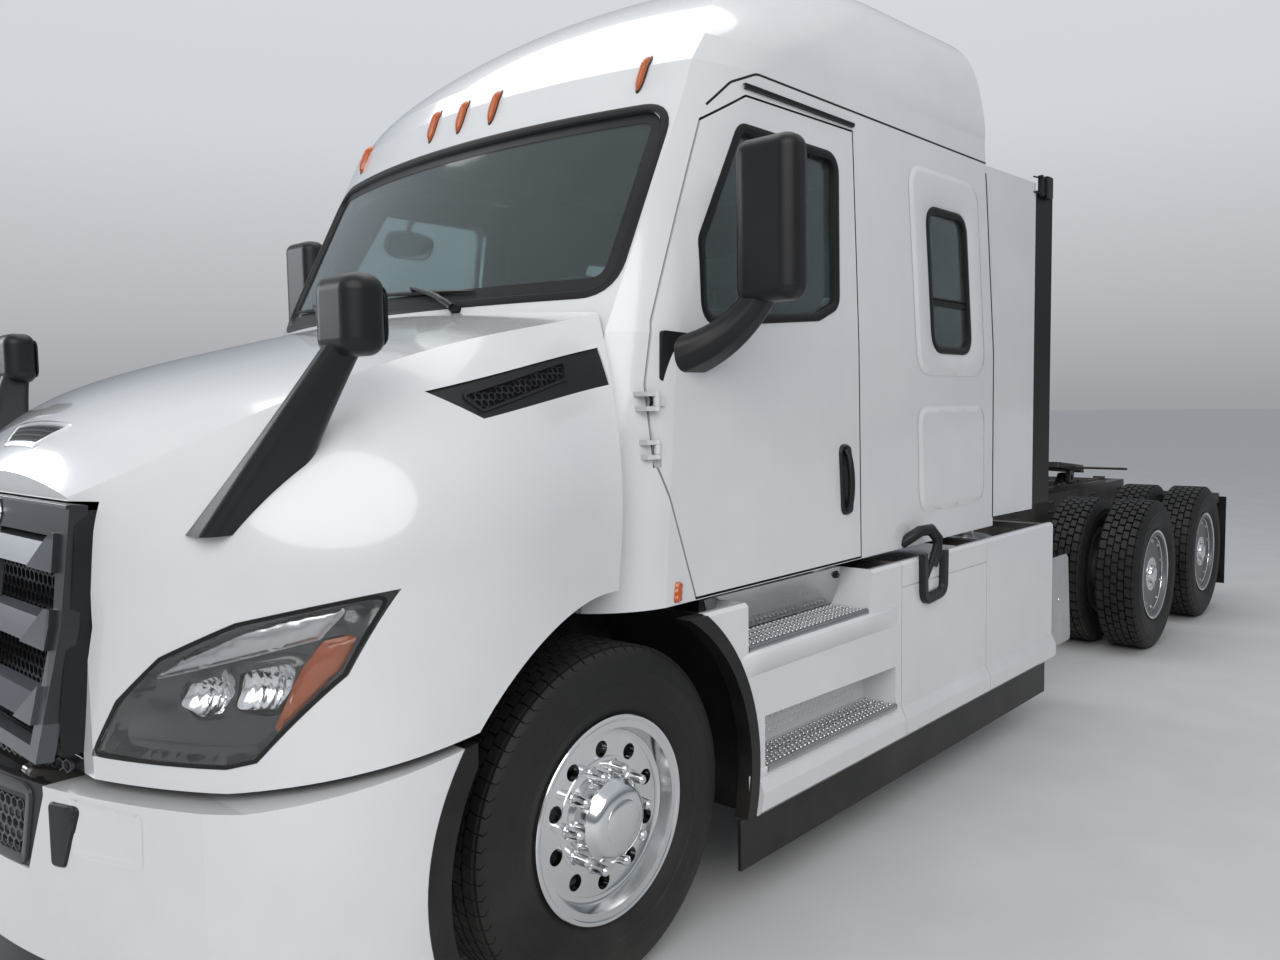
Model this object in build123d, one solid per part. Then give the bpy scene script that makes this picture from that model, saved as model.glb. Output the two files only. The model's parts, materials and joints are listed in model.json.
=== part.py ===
from build123d import *
import math
import os

# Millimetres. X points to the truck's left, Y runs back from the front axle, Z is up from the ground.
# Every finished piece is moved along Y at the end, so that the origin is under mid-length.

# Overall
front_overhang = 1280
wheelbase = 5254
tandem_spacing = 1309
rear_overhang = 677
axle_height = 498
drive_axle_rows = (wheelbase, wheelbase + tandem_spacing)
tail_end = wheelbase + tandem_spacing + rear_overhang
overall_length = front_overhang + tail_end

# Wheels
tyre_radius = axle_height
bead_radius = 284
steer_track = 1035
twin_track = 905
twin_pitch = 343
steering_pin_x = 880
steering_arm = 170
running_gap = 0.05
seat_gap = 0.3
side_gap = 1.0
spindle_radius = 38
hub_spindle_radius = 55
axle_tube = 72
pinion_rise = 60
pinion_reach = 330
output_reach = 230
shaft_z = 690

# Frame
rail_outer_x = 430
rail_depth = 267
rail_flange = 83
rail_web = 9
frame_top = 990
frame_front = -1010
frame_rear = tail_end - 90
frame_bottom = frame_top - rail_depth

# Cab
cab_floor = 1070
cab_wall = 60
roof_seam = 2808
cab_rear = 2745
roof_wall = 35
belt_z = 1900
window_top = roof_seam - 158
panel_gap = 8
door_window_radius = 55
sleeper_window_radius = 75
windshield_radius = 95

# Hood and bumper
hood_skin = 22
arch_radius = 655
hood_hinge_y = -1230
hood_hinge_z = 800
hood_hinge_x = 330
hood_pin_radius = 6
hood_hem_z = 812
bumper_top = 784
bumper_wall = 26

# Side fairings
fairing_x = 1200
fairing_skin = 30
fairing_top = 1035
fairing_bottom = 320
fairing_front = 290
fairing_rear = 3320
fairing_seams = (1650, 2480)
hatch_seam_z = 930
seam_gap = 6
fairing_flare = 24
flare_top = 444
arch_lip = 48

fifth_wheel_y = wheelbase + tandem_spacing / 2
fifth_wheel_pivot_z = frame_top + 92
fifth_wheel_top = 1180
fifth_wheel_lean = 6
kingpin_radius = 25.4
trunnion_radius = 22

door_hinge_x = 1110
door_hinge_y = 265
hinge_pin_radius = 5


def box(x0, x1, y0, y1, z0, z1):
    block = Box(abs(x1 - x0), abs(y1 - y0), abs(z1 - z0))
    return Pos((x0 + x1) / 2, (y0 + y1) / 2, (z0 + z1) / 2) * block


def rod_x(radius, x0, x1, y, z):
    return Pos((x0 + x1) / 2, y, z) * Rot(0, 90, 0) * Cylinder(radius, abs(x1 - x0))


def rod_y(radius, x, y0, y1, z):
    return Pos(x, (y0 + y1) / 2, z) * Rot(90, 0, 0) * Cylinder(radius, abs(y1 - y0))


def rod_z(radius, x, y, z0, z1):
    return Pos(x, y, (z0 + z1) / 2) * Cylinder(radius, abs(z1 - z0))


def outline(points, radius=0):
    edge = FilletPolyline(*points, radius=radius, close=True) if radius else Polyline(*points, close=True)
    return make_face(edge)


def side_prism(points, x0, x1, radius=0):
    """points are (y, z) as seen from the side"""
    plane = Plane(origin=(x0, 0, 0), x_dir=(0, 1, 0), z_dir=(1, 0, 0))
    return extrude(plane * outline(points, radius), amount=x1 - x0, dir=(1, 0, 0))


def front_prism(points, y0, y1, radius=0):
    """points are (x, z) as seen from the front"""
    plane = Plane(origin=(0, y0, 0), x_dir=(1, 0, 0), z_dir=(0, -1, 0))
    return extrude(plane * outline(points, radius), amount=y1 - y0, dir=(0, 1, 0))


def plan_prism(points, z0, z1, radius=0):
    """points are (x, y) as seen from above"""
    return extrude(Plane.XY.offset(z0) * outline(points, radius), amount=z1 - z0, dir=(0, 0, 1))


def turned(profile_points):
    """revolves (x, r) points about the X axis"""
    face = make_face(Polyline(*profile_points, close=True))
    return revolve(face, Axis.X)


def mirrored(shape):
    return mirror(shape, about=Plane.YZ)


def pair(shape):
    return shape + mirrored(shape)


# Cab body: level z, nose y at the centre, corner x and y, side x and y, rear x
cab_levels = (
    (cab_floor, 0, 1010, 30, 1150, 250, 1115),
    (belt_z, -10, 992, 170, 1092, 390, 1112),
    (window_top, 395, 984, 548, 1046, 830, 1072),
    (roof_seam, 458, 975, 622, 1036, 930, 1062),
)
# The brow over the windshield, then the fairing above its crease
brow_top = (roof_seam + 107, 528, 960, 712, 1032, 1100, 1058)
brow_levels = (cab_levels[-1], brow_top)
roof_levels = (
    brow_top,
    (roof_seam + 242, 675, 880, 838, 1016, 1400, 1050),
    (roof_seam + 402, 920, 770, 1072, 972, 1720, 1015),
    (roof_seam + 542, 1205, 640, 1330, 892, 1950, 940),
    (roof_seam + 632, 1475, 490, 1575, 770, 2100, 810),
    (roof_seam + 677, 1800, 320, 1860, 600, 2200, 640),
)
# Lower edge of the roof cap seen from the side, dipping to the top of the windshield
roof_edge = (
    (-200, window_top + 6), (640, window_top + 6), (760, window_top + 102), (900, roof_seam),
    (cab_rear + 100, roof_seam), (-200, roof_seam),
)


def cab_slice(level, inset, drop=0):
    z, nose_y, corner_x, corner_y, side_x, side_y, rear_x = level
    nose_y += inset
    corner_y += inset * 0.8
    corner_x -= inset * 0.6
    side_x -= inset
    rear_x -= inset
    rear_y = cab_rear - inset
    bulge_x = corner_x + 0.60 * (side_x - corner_x)
    bulge_y = corner_y + 0.36 * (side_y - corner_y)
    front = ThreePointArc((-corner_x, corner_y), (0, nose_y), (corner_x, corner_y))
    left = ThreePointArc((corner_x, corner_y), (bulge_x, bulge_y), (side_x, side_y))
    right = ThreePointArc((-side_x, side_y), (-bulge_x, bulge_y), (-corner_x, corner_y))
    back = Polyline((side_x, side_y), (rear_x, rear_y), (-rear_x, rear_y), (-side_x, side_y))
    return Plane.XY.offset(z - drop) * make_face(front + left + back + right)


def cab_block(inset=0):
    return loft([cab_slice(level, inset) for level in cab_levels], ruled=True)


def roof_block(inset=0):
    brow = loft([cab_slice(level, inset, drop) for level, drop in zip(brow_levels, (0, inset))], ruled=True)
    return brow + loft([cab_slice(level, inset, inset) for level in roof_levels])


# Door as seen from the side, its front edge following the windshield pillar
door_outline = (
    (400, 1080), (305, 1400), (258, 1520), (256, 1740), (300, 1930),
    (610, window_top - 50), (830, roof_seam - 93), (1515, roof_seam - 83), (1440, 1080),
)
door_glass_outline = (
    (535, 1950), (545, 2200), (790, window_top - 50), (1380, window_top - 50), (1330, 2050), (1200, 2000),
)
sleeper_window_outline = ((2120, belt_z + 8), (2120, 2505), (2475, 2505), (2475, belt_z + 8))
windshield_outline = ((-962, 2030), (-948, window_top - 10), (948, window_top - 10), (962, 2030))


def grown(points, amount, radius=0):
    """moves an outline outward by amount"""
    face = outline(points, radius)
    return offset(face, amount=amount, kind=Kind.INTERSECTION) if amount else face


def side_cut(points, amount, x0, x1, radius=0):
    plane = Plane(origin=(x0, 0, 0), x_dir=(0, 1, 0), z_dir=(1, 0, 0))
    return extrude(plane * grown(points, amount, radius), amount=x1 - x0, dir=(1, 0, 0))


def front_cut(points, amount, y0, y1, radius=0):
    plane = Plane(origin=(0, y0, 0), x_dir=(1, 0, 0), z_dir=(0, -1, 0))
    return extrude(plane * grown(points, amount, radius), amount=y1 - y0, dir=(0, 1, 0))


def cab_skin(wall, depth=0):
    """the layer of the cab body between two insets, above the floor"""
    return cab_block(depth) - cab_block(depth + wall)


hinge_heights = (1545, 1690)
hinge_knuckle = 28


def hinge_barrels(part_of_door):
    """two barrels a side; the door holds the middle knuckle and the cab the outer ones"""
    pieces = []
    for z in hinge_heights:
        if part_of_door:
            inner = hinge_knuckle / 2
            ring = rod_z(11, door_hinge_x, door_hinge_y, z - inner, z + inner)
            ring += box(door_hinge_x - 20, door_hinge_x, door_hinge_y, door_hinge_y + 40, z - inner, z + inner)
            ring -= rod_z(hinge_pin_radius + running_gap, door_hinge_x, door_hinge_y, z - 20, z + 20)
        else:
            start = hinge_knuckle / 2 + side_gap
            end = start + 14
            ring = rod_z(11, door_hinge_x, door_hinge_y, z - end, z - start)
            ring += rod_z(11, door_hinge_x, door_hinge_y, z + start, z + end)
            ring += rod_z(hinge_pin_radius, door_hinge_x, door_hinge_y, z - end, z + end)
            for low, high in ((z - end, z - start), (z + start, z + end)):
                ring += box(door_hinge_x - 60, door_hinge_x + 5, door_hinge_y - 50, door_hinge_y - 18, low, high)
                ring += box(door_hinge_x - 10, door_hinge_x + 5, door_hinge_y - 19, door_hinge_y - 8, low, high)
        pieces.append(ring)
    return pieces


def cab_shell():
    inside = cab_block(cab_wall) & box(-1300, 1300, -200, 3000, cab_floor + 50, roof_seam + 10)
    shell = cab_block() - inside
    opening = side_cut(door_outline, panel_gap, 700, 1300)
    shell -= opening
    shell -= mirrored(opening)
    window = side_cut(sleeper_window_outline, 0, 900, 1300, sleeper_window_radius)
    shell -= window
    shell -= mirrored(window)
    shell -= front_cut(windshield_outline, 0, -300, 640, windshield_radius)
    shell -= side_prism(roof_edge, -1300, 1300)
    pocket = rod_z(16, door_hinge_x, door_hinge_y, 1490, 1745)
    shell -= pocket
    shell -= mirrored(pocket)
    for barrel in hinge_barrels(False):
        shell += barrel
        shell += mirrored(barrel)
    return shell


def door():
    skin = cab_skin(cab_wall) & side_cut(door_outline, 0, 700, 1300)
    skin -= side_cut(door_glass_outline, 0, 700, 1300, door_window_radius)
    skin -= rod_z(16, door_hinge_x, door_hinge_y, 1490, 1745)
    for barrel in hinge_barrels(True):
        skin += barrel
    return skin


def door_glass():
    return cab_skin(6, 22) & side_cut(door_glass_outline, 0, 700, 1300, door_window_radius)


def windshield():
    return cab_skin(8, 12) & front_cut(windshield_outline, 0, -300, 640, windshield_radius)


def sleeper_windows():
    return pair(cab_skin(6, 12) & side_cut(sleeper_window_outline, 0, 900, 1300, sleeper_window_radius))


def roof_cap():
    brow = cab_skin(cab_wall) & side_prism(roof_edge, -1300, 1300)
    return roof_block() - roof_block(roof_wall) + brow


# Hood: station y, crown z, ridge x and z, side x and z
hood_stations = (
    (-1160, 1530, 480, 1480, 560, 1150),
    (-1000, 1682, 700, 1588, 900, 1200),
    (-750, 1788, 900, 1726, 1140, 1230),
    (-250, 1930, 965, 1875, 1200, 1200),
    (200, 2030, 985, 1968, 1140, 1300),
)
hood_rear_seam = ((-1400, 600), (30, 600), (45, 1120), (118, 1700), (170, 1990), (175, 2200), (-1400, 2200))
hood_hem = ((-1400, hood_hem_z), (-1000, hood_hem_z), (-500, 900), (400, 900), (400, 600), (-1400, 600))
vent_outline = ((-530, 1720), (120, 1850), (118, 1740), (-400, 1650))
headlamp_outline = (
    (552, 868), (640, 1010), (760, 1120), (930, 1205), (1165, 1268), (1105, 1080), (960, 885), (900, 868),
)
grille_outline = ((-565, 1465), (565, 1465), (575, 1180), (490, 850), (-490, 850), (-575, 1180))


grille_window = ((-505, 1385), (505, 1385), (522, 1180), (445, 885), (-445, 885), (-522, 1180))
slat_pitch = 182


def hood_slice(station, inset):
    y, crown_z, ridge_x, ridge_z, side_x, side_z = station
    crown_z -= inset
    ridge_x -= inset * 0.7
    ridge_z -= inset
    side_x -= inset
    bulge_x = ridge_x + 0.72 * (side_x - ridge_x)
    bulge_z = ridge_z - 0.42 * (ridge_z - side_z)
    hem_z = 700
    top = ThreePointArc((-ridge_x, ridge_z), (0, crown_z), (ridge_x, ridge_z))
    left = ThreePointArc((ridge_x, ridge_z), (bulge_x, bulge_z), (side_x, side_z))
    right = ThreePointArc((-side_x, side_z), (-bulge_x, bulge_z), (-ridge_x, ridge_z))
    bottom = Polyline((side_x, side_z), (side_x, hem_z), (-side_x, hem_z), (-side_x, side_z))
    plane = Plane(origin=(0, y, 0), x_dir=(1, 0, 0), z_dir=(0, -1, 0))
    return plane * make_face(top + left + bottom + right)


def hood_block(inset=0, setback=0):
    slices = []
    for index, station in enumerate(hood_stations):
        moved = (station[0] + (setback if index == 0 else 0),) + station[1:]
        slices.append(hood_slice(moved, inset))
    return loft(slices)


def wheel_arch(radius):
    return pair(rod_x(radius, 620, 1400, 0, axle_height))


def hood():
    shell = hood_block() - hood_block(hood_skin, hood_skin)
    shell &= side_prism(hood_rear_seam, -1400, 1400)
    shell -= side_prism(hood_hem, -1400, 1400)
    shell -= wheel_arch(arch_radius)
    shell -= pair(front_cut(headlamp_outline, 0.3, -1400, -693.7))
    shell -= front_cut(grille_outline, 6, -1400, -900)
    shell -= pair(side_cut(vent_outline, 0, 850, 1300))
    shell -= cab_block(-14)
    arm = side_prism(((hood_hinge_y, hood_hinge_z - 6), (hood_hinge_y, hood_hinge_z + 12), (-1160, 850), (-1120, 850),
                      (-1120, hood_hem_z)), hood_hinge_x - 15, hood_hinge_x + 15)
    arm += rod_x(12, hood_hinge_x - 15, hood_hinge_x + 15, hood_hinge_y, hood_hinge_z)
    arm += box(hood_hinge_x - 40, 520, -1158, -1120, hood_hem_z, 845)
    arm -= rod_x(hood_pin_radius + running_gap, hood_hinge_x - 20, hood_hinge_x + 20, hood_hinge_y, hood_hinge_z)
    return shell + pair(arm)


def headlamps():
    wedge = front_cut(headlamp_outline, 0, -1400, -694)
    body = (hood_block(8, 8) - hood_block(95, 95)) & wedge
    for x, z in ((760, 985), (930, 1060)):
        body -= Pos(x, -1060, z) * Rot(90, 0, 0) * Cylinder(62, 150)
    return pair(body)


def headlamp_lenses():
    wedge = front_cut(headlamp_outline, 0, -1400, -694)
    return pair((hood_block() - hood_block(8, 8)) & wedge)


def grille():
    tilt = Pos(0, -1150, 1480) * Rot(-7.5, 0, 0) * Pos(0, 0, -1480)
    frame = front_cut(grille_outline, 0, -30, 10) - front_cut(grille_window, 0, -60, 60)
    middle = front_cut(grille_window, 10, -60, 60)
    for index in range(3):
        z = 938 + index * slat_pitch
        slat = side_prism(((-30, z), (-16, z + 62), (14, z + 74), (14, z - 4)), -600, 600)
        tooth = front_cut(((345, z), (600, z), (600, z + 100), (490, z + 96)), 0, -42, 8)
        frame += (slat + pair(tooth)) & middle
    frame += box(-12, 12, -6, 10, 860, 1440)
    wall_back = hood_stations[0][0] + hood_skin
    tabs = box(480, 512, wall_back - 62, wall_back + 14, 1040, 1080)
    tabs += box(480, 620, wall_back + 2, wall_back + 14, 1040, 1080) & hood_block(hood_skin + seat_gap, hood_skin)
    return tilt * frame + pair(tabs)


def mirror_head(x, y, z, width, depth, height):
    """a mirror housing with rounded corners and softened ends"""
    head = Pos(x, y, z - height / 2) * extrude(RectangleRounded(width, depth, depth * 0.42), amount=height)
    ends = head.edges().group_by(Axis.Z)
    return fillet(ends[0] + ends[-1], depth * 0.36)


def hood_trim():
    vent = side_cut(vent_outline, 0, 850, 1300) & side_prism(hood_rear_seam, 850, 1300)
    vents = pair((hood_block(4) - hood_block(16)) & vent - cab_block(-14))
    head = mirror_head(1117, -775, 1885, 165, 105, 180)
    arm = loft([
        Pos(850, -925, 1400) * RectangleRounded(120, 210, 34),
        Pos(1000, -850, 1640) * RectangleRounded(74, 136, 30),
        Pos(1100, -785, 1820) * RectangleRounded(66, 88, 28),
    ])
    liner = rod_x(arch_radius + 8, 640, 1300, 0, axle_height) - rod_x(arch_radius, 630, 1310, 0, axle_height)
    liner &= box(640, 1300, -500, -20, 890, 1300) & hood_block(hood_skin + seat_gap, hood_skin)
    return vents + pair(head + arm - hood_block()) + pair(liner)


def bumper_plan(inset):
    corner_x, corner_y = 900 - inset, -1060 + inset
    end_x = 1200 - inset
    front = ThreePointArc((-corner_x, corner_y), (0, -front_overhang + inset), (corner_x, corner_y))
    left = ThreePointArc((corner_x, corner_y), (1105 - inset, -850 + inset * 0.5), (end_x, -520))
    right = ThreePointArc((-end_x, -520), (-1105 + inset, -850 + inset * 0.5), (-corner_x, corner_y))
    back = Line((end_x, -520), (-end_x, -520))
    return make_face(front + left + back + right)


def bumper_block(inset, z0, z1):
    return extrude(Plane.XY.offset(z0) * bumper_plan(inset), amount=z1 - z0)


bumper_rim = ((-1400, bumper_top), (-1000, bumper_top), (-480, 876), (-480, 1000), (-1400, 1000))
bumper_ledge = ((-1400, bumper_top - 18), (-1000, bumper_top - 18), (-480, 858), (-480, 1000), (-1400, 1000))
lower_opening = ((-430, 900), (430, 900), (430, 760), (350, 560), (-350, 560), (-430, 760))
side_opening = ((530, 768), (735, 758), (735, 640), (545, 640))


def bumper():
    shell = bumper_block(0, 340, 890) - bumper_block(bumper_wall, 300, 900)
    ledge = bumper_block(0, 740, 890) - bumper_block(100, 740, 890)
    shell += ledge & side_prism(bumper_ledge, -1400, 1400)
    shell -= side_prism(bumper_rim, -1400, 1400)
    shell -= wheel_arch(arch_radius + 10)
    shell -= front_cut(lower_opening, 0, -1400, -1000)
    shell -= pair(front_cut(side_opening, 0, -1400, -1000))
    pad = box(rail_outer_x - 60, rail_outer_x + 5, -1225, frame_front, 480, 545)
    return shell + pair(pad)


def bumper_grille():
    panel = bumper_block(6, 540, 796) - bumper_block(24, 500, 850)
    panel -= side_prism(bumper_rim, -1400, 1400)
    middle = front_cut(lower_opening, 0, -1400, -1000)
    centre = panel & middle
    for z in (605, 655, 705):
        centre -= front_cut(((-330, z), (330, z), (330, z + 26), (-330, z + 26)), 0, -1400, -1000)
    dam = (bumper_block(40, 190, 340) - bumper_block(54, 180, 350)) & box(-1100, 1100, -1400, -700, 190, 340)
    dam += (bumper_block(bumper_wall, 330, 360) - bumper_block(54, 320, 370)) & box(-1100, 1100, -1400, -700, 330, 360)
    return centre + (panel & pair(front_cut(side_opening, 0, -1400, -1000))) + dam


def arch_ring(x0, x1, inner, outer):
    return rod_x(outer, x0, x1, 0, axle_height) - rod_x(inner, x0 - 10, x1 + 10, 0, axle_height)


def splash_guards():
    """liners behind the bumper and ahead of the steps, each with the black lip that edges the arch"""
    ring = arch_ring(640, 1250, arch_radius, arch_radius + 12)
    front = ring & box(600, 1300, -720, -500, 420, 840) & bumper_block(bumper_wall, 400, 900)
    front_lip = arch_ring(1100, 1240, arch_radius - arch_lip, arch_radius + 10 - seat_gap)
    front_lip &= box(1100, 1240, -720, -500, 350, 880) & bumper_block(-3, 350, 880)
    front_lip -= side_prism(bumper_rim, -1400, 1400)
    rear_end = fairing_x - fairing_skin
    rear = ring & box(600, rear_end, 200, 720, fairing_bottom, 1030)
    rear_lip = arch_ring(rear_end - 20, rear_end, arch_radius - arch_lip, arch_radius + 12)
    rear_lip += arch_ring(rear_end - 20, fairing_x + 6, arch_radius - arch_lip, arch_radius - seat_gap)
    rear_lip &= box(1100, 1300, 200, 720, fairing_bottom, fairing_top - 5)
    return pair(front + front_lip + rear + rear_lip)


outrigger_rows = (1650, 2480, 3280)
cross_rows = (frame_front + 110, 1000, 2600, 4100, wheelbase - 474, fifth_wheel_y, frame_rear - 110)


def ladder_frame():
    rail = box(rail_outer_x - rail_flange, rail_outer_x, frame_front, frame_rear, frame_bottom, frame_top)
    rail -= box(0, rail_outer_x - rail_web, frame_front - 1, frame_rear + 1,
                frame_bottom + rail_web, frame_top - rail_web)
    frame = pair(rail)
    horn = box(rail_outer_x - 60, rail_outer_x, frame_front, frame_front + 200, 480, frame_bottom)
    hinge = side_prism(((hood_hinge_y, hood_hinge_z + 10), (hood_hinge_y, hood_hinge_z - 8), (-1210, 788), (-1190, 740),
                        (frame_front, 560), (frame_front + 60, 560), (frame_front + 60, 720)),
                       hood_hinge_x + 17, rail_outer_x - 60)
    hinge += rod_x(11, hood_hinge_x + 17, rail_outer_x - 60, hood_hinge_y, hood_hinge_z)
    hinge += rod_x(hood_pin_radius, hood_hinge_x - 16, hood_hinge_x + 20, hood_hinge_y, hood_hinge_z)
    frame += pair(horn + hinge)
    for y in outrigger_rows:
        frame += pair(box(rail_outer_x - 5, fairing_x - fairing_skin, y - 30, y + 30, 1000, 1030))
        frame += pair(box(rail_outer_x - 30, rail_outer_x, y - 30, y + 30, frame_top - 5, 1030))
    for y in (300, 2500):
        frame += pair(box(rail_outer_x - 70, rail_outer_x, y - 60, y + 60, frame_top - 5, cab_floor))
    return frame


def cross_members():
    inner_x = rail_outer_x - rail_web
    beams = None
    for y in cross_rows:
        beam = box(-inner_x, inner_x, y - 40, y + 40, frame_bottom + 30, frame_top - 30)
        beams = beam if beams is None else beams + beam
    return beams


def front_axle():
    beam = side_prism(((-45, 395), (45, 395), (45, 495), (-45, 495)), -760, 760)
    beam -= pair(box(20, 700, -60, -14, 415, 475) + box(20, 700, 14, 60, 415, 475))
    end = front_prism(((740, 395), (740, 495), (steering_pin_x - 50, 545), (steering_pin_x, 545),
                       (steering_pin_x, 450), (steering_pin_x - 60, 450)), -28, 28)
    end += rod_z(28, steering_pin_x, 0, 450, 545) + rod_z(22, steering_pin_x, 0, 385, 615)
    return beam + pair(end)


def front_springs():
    low_z = 497
    leaf = side_prism(((-760, 640), (-60, low_z + 18), (60, low_z + 18), (760, 640), (760, 655),
                       (60, low_z + 40), (-60, low_z + 40), (-760, 655)), 390, 480)
    leaf += box(385, 485, -70, 70, 495, 540)
    for y in (-760, 760):
        leaf += box(405, 465, y - 45, y + 45, 620, frame_bottom)
    return pair(leaf)


def knuckle():
    x = steering_pin_x
    fork = rod_z(45, x, 0, 552, 612) + rod_z(45, x, 0, 388, 443)
    fork += box(x + 20, x + 60, -45, 45, 388, 612)
    fork -= box(x - 60, x + 34, -60, 60, 443, 552)
    fork += rod_x(spindle_radius, x + 50, x + 215, 0, axle_height)
    arm = box(x - 17, x + 17, 40, steering_arm, 392, 416) + rod_z(17, x, steering_arm, 392, 416)
    fork += arm
    fork -= rod_z(22 + running_gap, x, 0, 380, 620)
    fork -= rod_z(8 + running_gap, x, steering_arm, 380, 430)
    return fork


def tie_rod():
    x = steering_pin_x
    bar = rod_x(15, -x + 10, x - 10, steering_arm, 372)
    for end_x in (-x, x):
        bar += rod_z(17, end_x, steering_arm, 356, 391)
        bar += rod_z(8, end_x, steering_arm, 380, 414)
    return bar


# Tyre half section: distance from the centre plane and radius
tyre_half = ((103, bead_radius), (103, 300), (133, 345), (136, 400), (128, 462), (104, tyre_radius - 8), (60, tyre_radius))


def tyre(centre_x):
    left = [(centre_x + x, r) for x, r in tyre_half]
    right = [(centre_x - x, r) for x, r in reversed(tyre_half)]
    inner = [(centre_x - 92, bead_radius), (centre_x - 112, 380), (centre_x - 70, tyre_radius - 25),
             (centre_x + 70, tyre_radius - 25), (centre_x + 112, 380), (centre_x + 92, bead_radius)]
    return turned(left + right + inner)


def rim(centre_x, disc_x):
    """barrel with two flanges and a disc at disc_x"""
    section = [
        (centre_x - 118, 298), (centre_x - 104, 298), (centre_x - 104, bead_radius), (centre_x + 104, bead_radius),
        (centre_x + 104, 298), (centre_x + 118, 298), (centre_x + 118, 262), (centre_x + 60, 240),
        (disc_x + 6, 236), (disc_x + 6, 112), (disc_x - 14, 112), (disc_x - 14, 236),
        (centre_x - 60, 250), (centre_x - 118, 268),
    ]
    return turned(section)


def hand_holes(disc_x, count, hole_radius, pitch_radius):
    holes = []
    for index in range(count):
        angle = math.radians(360 / count * (index + 0.5))
        y = pitch_radius * math.cos(angle)
        z = pitch_radius * math.sin(angle)
        holes.append(rod_x(hole_radius, disc_x - 40, disc_x + 40, y, z))
    return holes


def front_rim():
    disc_x = steer_track + 70
    wheel = rim(steer_track, disc_x)
    for hole in hand_holes(disc_x, 10, 24, 196):
        wheel -= hole
    hub = turned(((steering_pin_x + 66, 0), (steering_pin_x + 66, 150), (disc_x - 13, 150), (disc_x - 13, 118),
                  (disc_x + 45, 112), (disc_x + 75, 90), (disc_x + 82, 0)))
    wheel += hub
    wheel -= rod_x(spindle_radius + running_gap, steering_pin_x + 40, steering_pin_x + 216, 0, 0)
    return Pos(0, 0, axle_height) * wheel


def front_tyre():
    return Pos(0, 0, axle_height) * tyre(steer_track)


def drive_rims(row_y):
    outer = twin_track + twin_pitch / 2
    inner = twin_track - twin_pitch / 2
    wheels = rim(outer, outer - 75) + rim(inner, inner + 85)
    hub = turned(((inner + 10, 0), (inner + 10, 140), (outer - 60, 140), (outer - 60, 100), (outer + 60, 90),
                  (outer + 72, 0)))
    wheels += hub
    cover = turned(((outer + 92, 0), (outer + 92, 250), (outer + 60, 262), (outer + 60, 245), (outer + 80, 235),
                    (outer + 80, 0)))
    wheels += cover + turned(((outer + 60, 0), (outer + 60, 60), (outer + 85, 60), (outer + 85, 0)))
    wheels -= rod_x(hub_spindle_radius + running_gap, inner, outer + 20, 0, 0)
    return Pos(0, row_y, axle_height) * wheels


def drive_tyres(row_y):
    pairs = tyre(twin_track + twin_pitch / 2) + tyre(twin_track - twin_pitch / 2)
    return Pos(0, row_y, axle_height) * pairs


def drive_axles():
    spindle_end = twin_track + twin_pitch / 2 + 20 - side_gap
    axles = None
    for row_y in drive_axle_rows:
        axle = rod_x(axle_tube, -560, 560, row_y, axle_height)
        axle += pair(rod_x(hub_spindle_radius, 550, spindle_end, row_y, axle_height))
        axle += pair(rod_x(110, 545, 575, row_y, axle_height))
        axle += Pos(0, row_y, axle_height) * Sphere(205)
        axle += rod_y(95, 0, row_y - pinion_reach, row_y, axle_height + pinion_rise)
        axle += rod_y(70, 0, row_y, row_y + output_reach, axle_height + pinion_rise)
        axles = axle if axles is None else axles + axle
    return axles


def rear_suspension():
    bags = None
    for row_y in drive_axle_rows:
        hanger = box(380, 470, row_y - 520, row_y - 400, 560, frame_bottom)
        seat_z = axle_height + axle_tube
        beam = side_prism(((row_y - 520, 560), (row_y - 400, 560), (row_y - 90, seat_z + 40),
                           (row_y + 90, seat_z + 40), (row_y + 180, seat_z), (row_y + 360, 430), (row_y + 360, 400),
                           (row_y + 150, 540), (row_y + 60, seat_z), (row_y - 60, seat_z),
                           (row_y - 520, 530)), 385, 465)
        bag = rod_z(118, 425, row_y + 300, 430, 480) + rod_z(140, 425, row_y + 300, 480, 660)
        bag += rod_z(95, 425, row_y + 300, 660, frame_bottom)
        side = pair(hanger + beam + bag)
        bags = side if bags is None else bags + side
    return bags


def engine_block():
    block = box(-330, 330, -840, -20, 640, 1560)
    return block + box(-230, 230, -20, 900, 560, 960)


def radiator():
    return box(-335, 335, -1060, -960, 640, 1440) + box(-430, 430, -1060, -960, frame_top, 1440)


def driveline():
    bend_y = 4000
    pinion_z = axle_height + pinion_rise
    shafts = rod_y(55, 0, 900, bend_y, shaft_z) + rod_y(63, 0, 2560, 2640, shaft_z)
    run = wheelbase - pinion_reach - bend_y
    slope = math.degrees(math.atan2(shaft_z - pinion_z, run))
    shafts += Pos(0, bend_y, shaft_z) * Rot(-slope, 0, 0) * rod_y(50, 0, 0, math.hypot(run, shaft_z - pinion_z) - 8, 0)
    start = wheelbase + output_reach
    return shafts + rod_y(45, 0, start, wheelbase + tandem_spacing - pinion_reach, pinion_z)


def fuel_tanks():
    tank = rod_y(300, 810, 1790, 3240, 665)
    for y in (2000, 2960):
        tank += rod_y(306, 810, y - 30, y + 30, 665)
        tank += box(rail_outer_x, 560, y - 40, y + 40, 620, 900)
    return pair(tank)


def exhaust_box():
    case = box(500, 990, 830, 1600, 480, 850)
    case += box(rail_outer_x, 500, 900, 960, 760, 840) + box(rail_outer_x, 500, 1460, 1520, 760, 840)
    return pair(case)


def side_extenders():
    panel = plan_prism(((1062, cab_rear), (1022, cab_rear), (1040, 3330), (1085, 3330)), 1100, roof_seam - 8)
    return pair(panel)


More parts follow.
